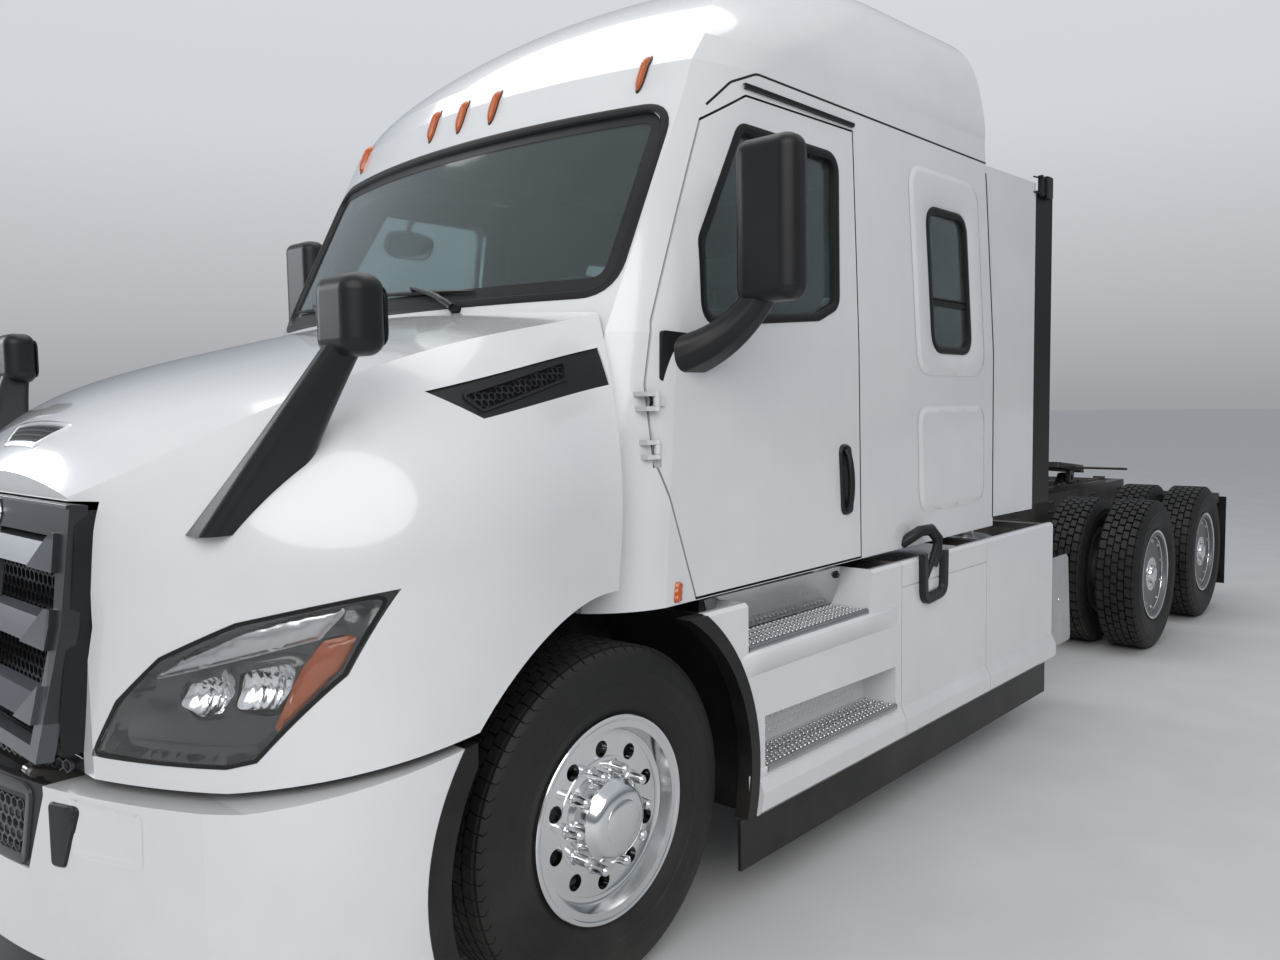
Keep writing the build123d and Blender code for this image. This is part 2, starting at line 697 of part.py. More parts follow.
def rubber_edges():
    edge = plan_prism(((1060, 3330), (1072, 3330), (1088, 3560), (1078, 3560)), 1120, roof_seam - 38)
    return pair(edge)


upper_pocket = ((600, 1100), (1430, 1100), (1385, 872), (600, 872))
lower_pocket = ((690, 640), (1600, 620), (1600, 452), (690, 452))


def step_pocket(points, back_x):
    """a moulded recess in the fairing, open outward"""
    pan = side_cut(points, 8, back_x - 8, fairing_x - fairing_skin) - side_cut(points, 0, back_x, 1300)
    return pan & box(900, 1300, 400, 1700, 400, fairing_top)


def side_fairings():
    x = fairing_x
    flare_x = x + fairing_flare
    section = ((x - fairing_skin, fairing_bottom), (x - fairing_skin, fairing_top), (x - 12, fairing_top),
               (x, fairing_top - 12), (x, flare_top), (flare_x, flare_top - 50), (flare_x, fairing_bottom + 14),
               (flare_x - 12, fairing_bottom))
    panel = front_prism(section, fairing_front, fairing_rear)
    panel -= rod_x(arch_radius, 1000, 1300, 0, axle_height)
    for seam in fairing_seams:
        panel -= box(1100, 1300, seam - seam_gap / 2, seam + seam_gap / 2, 200, 1200)
    panel -= box(x - 5, x + 1, fairing_seams[0], fairing_seams[1], hatch_seam_z, hatch_seam_z + seam_gap)
    for pocket, back_x in ((upper_pocket, 1010), (lower_pocket, 1050)):
        panel -= side_cut(pocket, 0, 1100, 1300)
        panel += step_pocket(pocket, back_x)
    return pair(panel)


def skirts():
    return pair(box(fairing_x - 20, fairing_x - 8, 560, fairing_rear - 70, 150, fairing_bottom))


def steps():
    tread = box(1012, fairing_x, 602, 1380, 872, 890)
    lower = box(1052, fairing_x + 8, 692, 1598, 452, 470)
    plate = side_prism(((610, 1034), (1405, 1034), (1378, 892), (610, 892)), 1010, 1016)
    return pair(tread + lower + plate)


def deck_plates():
    deck = box(-rail_outer_x, rail_outer_x, 3400, 4400, frame_top, frame_top + 8)
    return deck


def fifth_wheel_base():
    rails = pair(box(330, 430, fifth_wheel_y - 780, fifth_wheel_y + 780, frame_top, frame_top + 26))
    rails += box(-430, 430, fifth_wheel_y - 260, fifth_wheel_y + 260, frame_top + 26, frame_top + 46)
    y = fifth_wheel_y
    ear = side_prism(((y - 130, frame_top + 40), (y + 130, frame_top + 40), (y + 45, frame_top + 125),
                      (y - 45, frame_top + 125)), 330, 380)
    ear += rod_x(trunnion_radius, 330, 412, y, fifth_wheel_pivot_z)
    return rails + pair(ear)


plate_outline = (
    (-455, -380), (455, -380), (480, 60), (325, 560), (190, 600),
    (40, 180), (-40, 180), (-190, 600), (-325, 560), (-480, 60),
)
plate_depth = 40
plate_skin = 14


def fifth_wheel_plate():
    """rounded horseshoe, ribbed below, with ramps behind, a jaw block round the kingpin and a pull handle"""
    top = fifth_wheel_top
    y = fifth_wheel_y
    points = [(x, y + back) for x, back in plate_outline]
    plate = plan_prism(points, top - plate_depth, top, 22)
    pocket = extrude(Plane.XY.offset(top - plate_depth) * offset(outline(points, 22), amount=-18),
                     amount=plate_depth - plate_skin)
    keep = box(-130, 130, y - 150, y + 260, top - 60, top) + box(-500, 500, y - 60, y - 30, top - 60, top)
    keep += pair(box(370, 435, y - 70, y + 70, top - 60, top) + box(250, 264, y - 370, y + 590, top - 60, top))
    plate -= pocket - keep
    plate -= side_prism(((y + 340, top), (y + 640, top + 1), (y + 640, top - 26)), -500, 500)
    handle = rod_x(9, 420, 790, y - 100, top - 26) + Pos(812, y - 100, top - 26) * Torus(24, 8)
    plate += handle
    plate -= rod_z(kingpin_radius + 0.1, 0, y + 40, top - 60, top + 10)
    plate -= box(-27, 27, y + 60, y + 200, top - 60, top + 10)
    lug = box(388, 420, y - 45, y + 45, frame_top + 55, top - 38)
    lug -= rod_x(trunnion_radius + running_gap, 380, 430, y, fifth_wheel_pivot_z)
    lean = Pos(0, y, fifth_wheel_pivot_z) * Rot(-fifth_wheel_lean, 0, 0) * Pos(0, -y, -fifth_wheel_pivot_z)
    return lean * (plate + pair(lug))


def dashboard():
    desk = side_prism(((0, 1500), (0, 1950), (350, 1950), (620, 1860), (640, 1640), (520, 1500)), -900, 900)
    desk &= cab_block(cab_wall)
    column = Pos(420, 640, 1740) * Rot(55, 0, 0) * Cylinder(35, 260)
    wheel = Pos(420, 760, 1840) * Rot(55, 0, 0) * Torus(215, 16)
    spokes = Pos(420, 760, 1840) * Rot(55, 0, 0) * Box(410, 40, 14)
    return desk + column + wheel + spokes


def seats():
    seat = box(200, 720, 900, 1420, 1500, 1640) + box(200, 720, 1400, 1520, 1620, 2330)
    seat += box(300, 620, 1000, 1350, cab_floor + 50, 1500)
    return pair(seat)


def bunk():
    return box(-990, 990, 1860, 2660, 1500, 1680) + box(-990, 990, 1860, 2660, cab_floor + 50, 1500)


def door_mirror():
    base = side_prism(((300, 1750), (318, 1905), (470, 1900), (630, 1780)), 990, 1095, radius=12)
    arm = loft([
        Pos(1080, 450, 1830) * Rot(0, 90, 0) * RectangleRounded(120, 190, 46),
        Pos(1205, 515, 1905) * Rot(0, 62, 0) * RectangleRounded(96, 130, 40),
        Pos(1300, 555, 2030) * Rot(0, 22, 0) * RectangleRounded(96, 92, 38),
    ])
    head = mirror_head(1335, 545, 2230, 220, 115, 490)
    return base + arm + head - cab_block()


def tail_board():
    board = box(-1150, 1150, frame_rear, frame_rear + 60, 820, 900)
    return board + box(-rail_outer_x, rail_outer_x, frame_rear, frame_rear + 12, frame_bottom, frame_top)


def mudflaps():
    board_y = frame_rear + 60
    return pair(box(620, 1200, board_y, board_y + 10, 160, 870))


def tail_lamps():
    return pair(rod_y(52, 560, frame_rear + 60, tail_end, 860))


def marker_lamps():
    """five slim lamps leaning with the brow"""
    lamps = None
    z = roof_seam - 30
    for x, y in ((0, 440), (181, 446), (-181, 446), (815, 545), (-815, 545)):
        lamp = Pos(x, y, z) * Rot(-32, 0, 0) * extrude(Plane.XZ * RectangleRounded(32, 130, 15), amount=22, both=True)
        lamps = lamp if lamps is None else lamps + lamp
    return lamps - cab_block() - roof_block()


def save(name, shape):
    export_step(Pos(0, front_overhang - overall_length / 2, 0) * shape, os.path.join("parts", name + ".step"))


makers = {
    "ladder_frame": ladder_frame,
    "cross_members": cross_members,
    "front_axle": front_axle,
    "front_springs": front_springs,
    "drive_axles": drive_axles,
    "rear_suspension": rear_suspension,
    "engine_block": engine_block,
    "radiator": radiator,
    "driveline": driveline,
    "fuel_tanks": fuel_tanks,
    "exhaust_box": exhaust_box,
    "cab_shell": cab_shell,
    "roof_cap": roof_cap,
    "windshield": windshield,
    "sleeper_windows": sleeper_windows,
    "dashboard": dashboard,
    "seats": seats,
    "bunk": bunk,
    "side_extenders": side_extenders,
    "rubber_edges": rubber_edges,
    "side_fairings": side_fairings,
    "skirts": skirts,
    "steps": steps,
    "bumper": bumper,
    "bumper_grille": bumper_grille,
    "splash_guards": splash_guards,
    "tail_board": tail_board,
    "mudflaps": mudflaps,
    "tail_lamps": tail_lamps,
    "marker_lamps": marker_lamps,
    "fifth_wheel_base": fifth_wheel_base,
    "deck_plates": deck_plates,
    "fifth_wheel_plate": fifth_wheel_plate,
    "hood": hood,
    "grille": grille,
    "headlamps": headlamps,
    "headlamp_lenses": headlamp_lenses,
    "hood_trim": hood_trim,
    "tie_rod": tie_rod,
}

handed = {
    "door": door,
    "door_glass": door_glass,
    "door_mirror": door_mirror,
    "knuckle": knuckle,
    "front_rim": front_rim,
    "front_tyre": front_tyre,
}

os.makedirs("parts", exist_ok=True)
for name, make in makers.items():
    save(name, make())
for name, make in handed.items():
    left = make()
    save(name + "_left", left)
    save(name + "_right", mirrored(left))
for number, row_y in enumerate(drive_axle_rows, start=1):
    for kind, make in (("drive_rims", drive_rims), ("drive_tyres", drive_tyres)):
        left = make(row_y)
        save(f"{kind}_{number}_left", left)
        save(f"{kind}_{number}_right", mirrored(left))
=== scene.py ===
import json
import math

import bmesh
import bpy
import numpy as np
from mathutils import Matrix, Vector
from mathutils.bvhtree import BVHTree
from mathutils.geometry import delaunay_2d_cdt


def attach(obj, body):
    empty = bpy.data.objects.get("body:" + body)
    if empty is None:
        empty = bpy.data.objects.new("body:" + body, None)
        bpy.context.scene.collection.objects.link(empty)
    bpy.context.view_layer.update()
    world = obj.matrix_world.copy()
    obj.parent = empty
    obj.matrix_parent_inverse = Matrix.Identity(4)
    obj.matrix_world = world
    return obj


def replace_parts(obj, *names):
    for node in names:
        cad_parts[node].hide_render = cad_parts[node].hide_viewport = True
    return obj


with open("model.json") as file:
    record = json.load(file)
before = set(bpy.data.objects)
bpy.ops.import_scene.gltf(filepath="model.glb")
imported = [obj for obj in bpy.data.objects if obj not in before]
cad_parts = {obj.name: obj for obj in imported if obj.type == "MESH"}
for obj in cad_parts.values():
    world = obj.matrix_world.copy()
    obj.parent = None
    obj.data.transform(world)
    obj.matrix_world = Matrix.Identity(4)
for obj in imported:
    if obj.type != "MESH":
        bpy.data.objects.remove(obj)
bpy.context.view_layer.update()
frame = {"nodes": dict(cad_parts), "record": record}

nodes = frame["nodes"]
scene = bpy.context.scene
axleShift = 2.98
axleHeight = 0.498
driveAxles = ((1, 5.254), (2, 6.563))
bothSides = (("left", 1), ("right", -1))


# Points are measured back from the front axle
def at(x, y, z):
    return Vector((x, y - axleShift, z))


def linked(name, data):
    made = bpy.data.objects.new(name, data)
    scene.collection.objects.link(made)
    return made


# Shader nodes

def addNode(tree, kind, values=None, **settings):
    made = tree.nodes.new("ShaderNode" + kind)
    for key, value in settings.items():
        setattr(made, key, value)
    for key, value in (values or {}).items():
        if isinstance(value, bpy.types.NodeSocket):
            tree.links.new(value, made.inputs[key])
        else:
            made.inputs[key].default_value = value
    return made


def compute(tree, operation, first, second=0.5, **settings):
    return addNode(tree, "Math", {0: first, 1: second}, operation=operation, **settings).outputs[0]


def remap(tree, value, low, high, newLow=0, newHigh=1):
    ranges = {"Value": value, "From Min": low, "From Max": high, "To Min": newLow, "To Max": newHigh}
    return addNode(tree, "MapRange", ranges).outputs["Result"]


def noise(tree, place, scale, detail, roughness=0.5):
    values = {"Vector": place, "Scale": scale, "Detail": detail, "Roughness": roughness}
    return addNode(tree, "TexNoise", values).outputs["Fac"]


def objectPlace(tree):
    return addNode(tree, "TexCoord").outputs["Object"]


def splitAxes(tree, vector):
    return addNode(tree, "SeparateXYZ", {"Vector": vector}).outputs


def colourRamp(tree, factor, stops):
    ramp = addNode(tree, "ValToRGB", {"Fac": factor})
    elements = ramp.color_ramp.elements
    while len(elements) < len(stops):
        elements.new(0.5)
    for element, (place, colour) in zip(elements, stops):
        element.position = place
        element.color = (*colour, 1)
    return ramp.outputs["Color"]


def mixColour(tree, factor, first, second):
    return addNode(tree, "Mix", {"Factor": factor, 6: first, 7: second}, data_type="RGBA").outputs[2]


def startGroup(name, inputs, outputs):
    group = bpy.data.node_groups.new(name, "ShaderNodeTree")
    for label, value in inputs:
        group.interface.new_socket(label, in_out="INPUT", socket_type="NodeSocketFloat").default_value = value
    for kind, label in outputs:
        group.interface.new_socket(label, in_out="OUTPUT", socket_type="NodeSocket" + kind)
    return group, group.nodes.new("NodeGroupInput").outputs, group.nodes.new("NodeGroupOutput").inputs


# Road dust: more near the ground and on faces that look up
def makeDustGroup():
    group, given, result = startGroup("roadDust", [("Top", 1.2), ("Amount", 0.5)], [("Float", "Mask")])
    place = objectPlace(group)
    height = remap(group, splitAxes(group, place)["Z"], given["Top"], 0.1)
    patches = remap(group, noise(group, place, 3.5, 6, 0.62), 0.35, 0.72)
    normal = addNode(group, "NewGeometry").outputs["Normal"]
    shelf = remap(group, splitAxes(group, normal)["Z"], 0.2, 1, 0, 0.5)
    spotted = compute(group, "MULTIPLY", compute(group, "ADD", height, shelf), patches)
    scaled = compute(group, "MULTIPLY", spotted, given["Amount"], use_clamp=True)
    group.links.new(scaled, result["Mask"])
    return group


# A fine moulded or cast grain and a slow change of tone
def makeGrainGroup():
    group, given, result = startGroup("fineGrain", [("Scale", 400), ("Strength", 0.2), ("Distance", 0.001)],
                                      [("Vector", "Normal"), ("Float", "Tone")])
    place = objectPlace(group)
    bump = addNode(group, "Bump", {"Strength": given["Strength"], "Distance": given["Distance"],
                                   "Height": noise(group, place, given["Scale"], 3, 0.6)})
    group.links.new(bump.outputs["Normal"], result["Normal"])
    group.links.new(noise(group, place, 2.3, 4), result["Tone"])
    return group


dustGroup = makeDustGroup()
grainGroup = makeGrainGroup()


def useGroup(tree, group, **values):
    return addNode(tree, "Group", values, node_tree=group).outputs


def newMaterial(name):
    material = bpy.data.materials.new(name)
    material.use_nodes = True
    material.node_tree.nodes.clear()
    return material, material.node_tree


def finishShader(tree, values):
    shader = addNode(tree, "BsdfPrincipled", values)
    addNode(tree, "OutputMaterial", {"Surface": shader.outputs["BSDF"]})


# Grained normal and a ramp between two tones
def grained(tree, grain, dark, light):
    grains = useGroup(tree, grainGroup, Scale=grain[0], Strength=grain[1], Distance=grain[2])
    return grains["Normal"], colourRamp(tree, grains["Tone"], [(0.3, dark), (0.7, light)])


# A paint, plastic, rubber or metal whose dust also takes off its shine
def surface(name, dark, light, roughness=(0.4, 0.55), metallic=0, grain=(400, 0.15, 0.001), dust=0.3, dustTop=1.3,
            extra=None, dustColour=(0.3, 0.27, 0.23)):
    material, tree = newMaterial(name)
    normal, tone = grained(tree, grain, dark, light)
    mask = useGroup(tree, dustGroup, Top=dustTop, Amount=dust)["Mask"]
    finishShader(tree, {
        "Base Color": mixColour(tree, mask, tone, (*dustColour, 1)), "Metallic": metallic, "Normal": normal,
        "Roughness": remap(tree, mask, 0, 1, roughness[0], max(roughness[1], 0.75)), **(extra or {})})
    return material


def glass(name, tint, transmission, roughness=0.02, coat=0, spread=0.05):
    material, tree = newMaterial(name)
    film = noise(tree, objectPlace(tree), 5, 5)
    paler = [min(1, part * 1.12) for part in tint]
    finishShader(tree, {
        "Base Color": colourRamp(tree, film, [(0.2, tint), (0.8, paler)]), "Transmission Weight": transmission,
        "Roughness": remap(tree, film, 0.3, 0.8, roughness, roughness + spread), "IOR": 1.45, "Coat Weight": coat})
    return material


def camelCase(slot):
    first, second = slot.split("_")
    return first + second.title()


def shine(level):
    return {"Specular IOR Level": level}


# Dark and light tone, roughness, metallic, grain, dust, height of the dust, other inputs, colour of the dust
surfaces = {
    "white_paint": ((0.69, 0.7, 0.715), (0.74, 0.748, 0.758), (0.22, 0.5), 0, (900, 0.03, 0.0004), 0.16, 0.9,
                    {"Coat Weight": 1, "Coat Roughness": 0.07, **shine(0.5)}),
    "frame_paint": ((0.018, 0.018, 0.02), (0.034, 0.033, 0.033), (0.42, 0.7), 0, (300, 0.12, 0.001), 0.5, 1.6),
    "cast_metal": ((0.05, 0.05, 0.05), (0.1, 0.097, 0.093), (0.5, 0.75), 0.6, (180, 0.35, 0.002), 0.5, 1.6),
    "radiator_core": ((0.03, 0.03, 0.032), (0.06, 0.06, 0.062), (0.5, 0.7), 0.4),
    "tank_metal": ((0.5, 0.51, 0.52), (0.62, 0.63, 0.64), (0.22, 0.5), 1, (250, 0.05, 0.0005), 0.4, 1.3),
    "cabin_plastic": ((0.2, 0.21, 0.205), (0.27, 0.28, 0.275), (0.55, 0.7), 0, (700, 0.2, 0.0006), 0.1, 0.5),
    "seat_fabric": ((0.05, 0.052, 0.058), (0.085, 0.088, 0.095), (0.8, 0.9), 0, (900, 0.5, 0.0015), 0.1, 0.5,
                    {"Sheen Weight": 0.4}),
    "black_rubber": ((0.006, 0.006, 0.0065), (0.011, 0.011, 0.012), (0.38, 0.6), 0, (500, 0.1, 0.0005), 0.1, 1.4,
                     shine(0.3)),
    "bright_metal": ((0.72, 0.73, 0.74), (0.82, 0.83, 0.84), (0.12, 0.3), 1, (60, 0.03, 0.001), 0.15, 0.9),
    "black_plastic": ((0.0085, 0.009, 0.01), (0.015, 0.0155, 0.017), (0.36, 0.6), 0, (1100, 0.3, 0.0005), 0.1, 1,
                      shine(0.32)),
    "grille_plastic": ((0.026, 0.028, 0.033), (0.04, 0.043, 0.05), (0.3, 0.5), 0, (900, 0.12, 0.0005), 0.12, 1),
    "lamp_housing": ((0.005, 0.0053, 0.006), (0.01, 0.0105, 0.012), (0.12, 0.2), 0, (500, 0.04, 0.0004), 0, 0.6,
                     {"Coat Weight": 0.8, "Coat Roughness": 0.03}),
    "coupling_metal": ((0.03, 0.028, 0.026), (0.075, 0.068, 0.06), (0.3, 0.7), 0.7, (140, 0.4, 0.002), 0.3, 1.6),
    "grey_wheel": ((0.1, 0.105, 0.11), (0.135, 0.14, 0.147), (0.35, 0.6), 0.3, (300, 0.08, 0.0006), 0.3, 0.9),
    "tyre_rubber": ((0.01, 0.01, 0.01), (0.018, 0.0178, 0.0172), (0.55, 0.8), 0, (260, 0.25, 0.001), 0.22, 0.9,
                    shine(0.3), (0.14, 0.128, 0.112)),
}
# Tint, transmission, roughness, coat, spread of the roughness
glasses = {
    "window_glass": ((0.44, 0.54, 0.55), 0.95), "clear_lens": ((0.93, 0.95, 0.97), 1, 0, 0, 0.004),
    "red_lens": ((0.62, 0.02, 0.015), 0.35, 0.05, 0.8), "amber_lens": ((0.66, 0.125, 0.008), 0.35, 0.05, 0.8),
}
materials = {slot: surface(camelCase(slot), *row) for slot, row in surfaces.items()}
materials.update((slot, glass(camelCase(slot), *row)) for slot, row in glasses.items())


def coreMask(tree, place, halfWidth, top):
    axes = splitAxes(tree, place)
    near = compute(tree, "LESS_THAN", compute(tree, "ABSOLUTE", axes["X"]), halfWidth)
    return compute(tree, "MULTIPLY", near, compute(tree, "LESS_THAN", axes["Z"], top))


def overlay(material, mask, grain, dark, light):
    tree = material.node_tree
    base = next(entry for entry in tree.nodes if entry.type == "BSDF_PRINCIPLED").inputs["Base Color"]
    tones = grained(tree, grain, dark, light)[1]
    tree.links.new(mixColour(tree, mask, base.links[0].from_socket, tones), base)
    return material


# White outside and a plain lining on the faces that look back to the centre; the cab's lining is darkened further as
# painted shade
def linedPaint(name, centre, trimAndShade, arms=False):
    material = surface(name, *surfaces["white_paint"])
    tree = material.node_tree
    coords = addNode(tree, "TexCoord").outputs
    away = addNode(tree, "VectorMath", {0: coords["Object"], 1: centre}, operation="SUBTRACT").outputs["Vector"]
    facing = addNode(tree, "VectorMath", {0: away, 1: coords["Normal"]}, operation="DOT_PRODUCT").outputs["Value"]
    mask = compute(tree, "LESS_THAN", facing, 0)
    if arms:
        mask = compute(tree, "MAXIMUM", mask, coreMask(tree, coords["Object"], 0.5, 0.862))
    return overlay(material, mask, (500, 0.2, 0.001), trimAndShade, [part * 1.35 for part in trimAndShade])


# Darker surround and paler slats between its posts
def grillePaint(name):
    material = surface(name, (0.02, 0.022, 0.025), (0.03, 0.032, 0.037), (0.32, 0.5), 0, (900, 0.12, 0.0005), 0.1, 1)
    tree = material.node_tree
    return overlay(material, coreMask(tree, objectPlace(tree), 0.515, 1.385), (700, 0.1, 0.0005),
                   (0.062, 0.068, 0.078), (0.085, 0.092, 0.105))


cabinCentre = at(0, 1.3, 1.95)
lined = {
    # The cab's lining is darker than its own grey: painted shade of the cabin's inside, seen through the glass
    "cab_shell": linedPaint("cabPaint", cabinCentre, (0.05, 0.051, 0.053)),
    "roof_cap": linedPaint("roofPaint", cabinCentre, (0.13, 0.13, 0.13)),
    "hood": linedPaint("hoodPaint", at(0, 0.1, 0.7), (0.03, 0.03, 0.032), arms=True),
    "grille": grillePaint("grillePaint"),
}
lined["door_left"] = lined["door_right"] = lined["cab_shell"]
for entry in frame["record"]["subparts"]:
    cadObject = nodes.get(entry["node"])
    if cadObject:
        cadObject.data.materials.clear()
        cadObject.data.materials.append(lined.get(entry["node"], materials[entry["material_slot"]]))
print("stage: materials")


# Camera, floor and light

def lookFrom(place, forward, upward=(0, 0, 1)):
    back = -Vector(forward).normalized()
    side = Vector(upward).normalized().cross(back).normalized()
    return Matrix.Translation(place) @ Matrix((side, back.cross(side), back)).transposed().to_4x4()


# Solved from the photo
focalPixels, photoPixels, sensorWidth = 1006.416, 1280, 36
cameraPlace = at(3.09318, -2.02473, 1.67532)
cameraForward, cameraUp = (-0.66612, 0.74226, -0.07303), (-0.03729, 0.06465, 0.99721)
cameraData = bpy.data.cameras.new("photoCamera")
cameraData.sensor_width = sensorWidth
cameraData.lens = sensorWidth * focalPixels / photoPixels
cameraData.clip_end = 200
scene.camera = linked("photoCamera", cameraData)
scene.camera.matrix_world = lookFrom(cameraPlace, cameraForward, cameraUp)
scene.view_settings.view_transform = "Standard"

floorReach = 160
floorData = bpy.data.meshes.new("studioFloor")
floorData.from_pydata([(x * floorReach, y * floorReach, 0) for x, y in ((-1, -1), (1, -1), (1, 1), (-1, 1))],
                      [], [(0, 1, 2, 3)])
floorData.materials.append(surface("floorGrey", (0.56, 0.56, 0.56), (0.6, 0.6, 0.595), (0.6, 0.7), 0,
                                   (40, 0.05, 0.002), 0, 0.1))
linked("studioFloor", floorData)

scene.world = bpy.data.worlds.new("studioWorld")
scene.world.use_nodes = True
worldTree = scene.world.node_tree
worldTree.nodes.clear()
skyView = splitAxes(worldTree, addNode(worldTree, "TexCoord").outputs["Generated"])["Z"]
skyHeight = remap(worldTree, skyView, -0.3, 1)
rays = addNode(worldTree, "LightPath").outputs
seen = compute(worldTree, "MAXIMUM", rays["Is Camera Ray"], rays["Is Transmission Ray"])
skies = [addNode(worldTree, "Background", {"Color": colourRamp(worldTree, skyHeight, stops), "Strength": strength})
         for strength, stops in (
    (0.62, [(0, (0.3, 0.3, 0.31)), (0.2, (0.24, 0.25, 0.27)), (0.3, (0.3, 0.33, 0.37)), (0.48, (0.58, 0.63, 0.7)),
            (0.75, (0.92, 0.95, 1)), (1, (0.8, 0.86, 0.95))]),
    (1, [(0, (0.33, 0.33, 0.33)), (0.231, (0.345, 0.352, 0.365)), (0.3, (0.47, 0.485, 0.505)),
         (0.42, (0.64, 0.66, 0.69)), (1, (0.8, 0.82, 0.86))]))]
mixed = addNode(worldTree, "MixShader", {0: seen, 1: skies[0].outputs[0], 2: skies[1].outputs[0]})
addNode(worldTree, "OutputWorld", {"Surface": mixed.outputs[0]})

for name, place, target, size, power, colour in (
        ("keyLight", (7.5, -9.5, 7.5), (0, -1.5, 1.4), (16, 8), 820, (1, 0.98, 0.95)),
        ("topLight", (-1.5, -1, 8.5), (0, -0.5, 2), (6, 11), 250, (1, 0.99, 0.97)),
        ("farLight", (-8, -7, 4), (0, -2, 1.6), (4, 4), 220, (0.9, 0.95, 1))):
    data = bpy.data.lights.new(name, "AREA")
    data.shape = "ELLIPSE"
    data.size, data.size_y = size
    data.energy, data.color = power, colour
    linked(name, data).matrix_world = lookFrom(place, Vector(target) - Vector(place))
print("stage: studio")


# Mesh helpers

def circle(count, offset=0):
    angles = [2 * math.pi * (step + offset) / count for step in range(count)]
    return [(math.cos(angle), math.sin(angle)) for angle in angles]


# Each item with its neighbours; an open path repeats its ends
def neighbours(items, closed=True):
    before = items[-1:] + items[:-1] if closed else items[:1] + items[:-1]
    return zip(before, items, items[1:] + (items[:1] if closed else items[-1:]))


# Smallest radius of a turned tip
thin = 0.0003


# Collects loose parts into one mesh
class MeshParts:
    def __init__(self):
        self.verts = []
        self.faces = []

    def add(self, verts, faces):
        start = len(self.verts)
        self.verts.extend(Vector(vert) for vert in verts)
        self.faces.extend(tuple(start + index for index in face) for face in faces)
        return self

    # Joins rings of equal length with quads
    def strips(self, rings, closedRing=True, closedPath=False, caps=False):
        count, total = len(rings[0]), len(rings)
        faces = []
        for index in range(total if closedPath else total - 1):
            here, there = index * count, (index + 1) % total * count
            for step in range(count if closedRing else count - 1):
                after = (step + 1) % count
                faces.append((here + step, here + after, there + after, there + step))
        if caps:
            faces.append(tuple(range(count))[::-1])
            faces.append(tuple((total - 1) * count + step for step in range(count)))
        return self.add([point for ring in rings for point in ring], faces)

    # Turns (x, radius) points about an axis along X through centre (y, z)
    def lathe(self, profile, centre, sides):
        return self.strips([[(x, centre[0] + max(radius, thin) * c, centre[1] + max(radius, thin) * s)
                             for c, s in circle(sides)] for x, radius in profile])

    # Turns (along, radius) points about any axis
    def spin(self, profile, centre, axis, sides):
        axis = Vector(axis).normalized()
        across = axis.orthogonal().normalized()
        third = axis.cross(across)
        return self.strips([[Vector(centre) + axis * along + max(radius, thin) * (across * c + third * s)
                             for c, s in circle(sides)] for along, radius in profile])

    # A round bar; radius is one value or one a point
    def tube(self, path, radius, sides):
        path = [Vector(point) for point in path]
        radii = radius if isinstance(radius, list) else [radius] * len(path)
        rings = []
        upright = None
        for (before, point, after), reach in zip(neighbours(path, False), radii):
            along = (after - before).normalized()
            upright = upright or along.orthogonal().normalized()
            upright = (upright - along * upright.dot(along)).normalized()
            across = along.cross(upright)
            rings.append([point + reach * (upright * c + across * s) for c, s in circle(sides)])
        return self.strips(rings, caps=True)

    def block(self, low, high, inset):
        (x0, y0, z0), (x1, y1, z1) = low, high
        return self.strips([cutCorners(x0 + shrink, x1 - shrink, y0 + shrink, y1 - shrink, z, inset)
                            for z, shrink in ((z0, inset), (z0 + inset, 0), (z1 - inset, 0), (z1, inset))], caps=True)

    # A block between pairs of x, y and z; side mirrors it
    def box(self, xs, ys, zs, inset, side=1):
        x0, x1 = sorted(side * x for x in xs)
        return self.block(at(x0, ys[0], zs[0]), at(x1, ys[1], zs[1]), inset)

    def piece(self, name, material, crease=32, body="chassis"):
        mesh = bpy.data.meshes.new(name)
        mesh.from_pydata(self.verts, [], self.faces)
        mesh.validate()
        work = bmesh.new()
        work.from_mesh(mesh)
        bmesh.ops.recalc_face_normals(work, faces=work.faces)
        work.to_mesh(mesh)
        work.free()
        mesh.materials.append(materials[material])
        mesh.shade_smooth()
        mesh.set_sharp_from_angle(angle=math.radians(crease))
        made = linked(name, mesh)
        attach(made, body)
        return made


def cutCorners(x0, x1, y0, y1, z, cut):
    return [(x0 + cut, y0, z), (x1 - cut, y0, z), (x1, y0 + cut, z), (x1, y1 - cut, z),
            (x1 - cut, y1, z), (x0 + cut, y1, z), (x0, y1 - cut, z), (x0, y0 + cut, z)]


# A polygon with its corners rounded, in points about spacing apart
def roundOutline(points, radius, spacing=0.03, closed=True):
    points = [Vector(point) for point in points]
    corners = []
    for index, (before, corner, after) in enumerate(neighbours(points)):
        if not closed and index in (0, len(points) - 1):
            corners.append([corner])
            continue
        toBefore, toAfter = before - corner, after - corner
        angle = toBefore.angle(toAfter)
        cut = min(radius / math.tan(angle / 2), min(toBefore.length, toAfter.length) * 0.48)
        start, end = corner + toBefore.normalized() * cut, corner + toAfter.normalized() * cut
        steps = max(3, int((math.pi - angle) / 0.22))
        corners.append([(1 - t) ** 2 * start + 2 * t * (1 - t) * corner + t * t * end
                        for t in (step / steps for step in range(steps + 1))])
    path = []
    for arc, following in zip(corners, corners[1:] + (corners[:1] if closed else [corners[-1][-1:]])):
        path.extend(arc)
        gap = following[0] - arc[-1]
        extra = int(gap.length / spacing)
        path.extend(arc[-1] + gap * (step / (extra + 1)) for step in range(1, extra + 1))
    return path


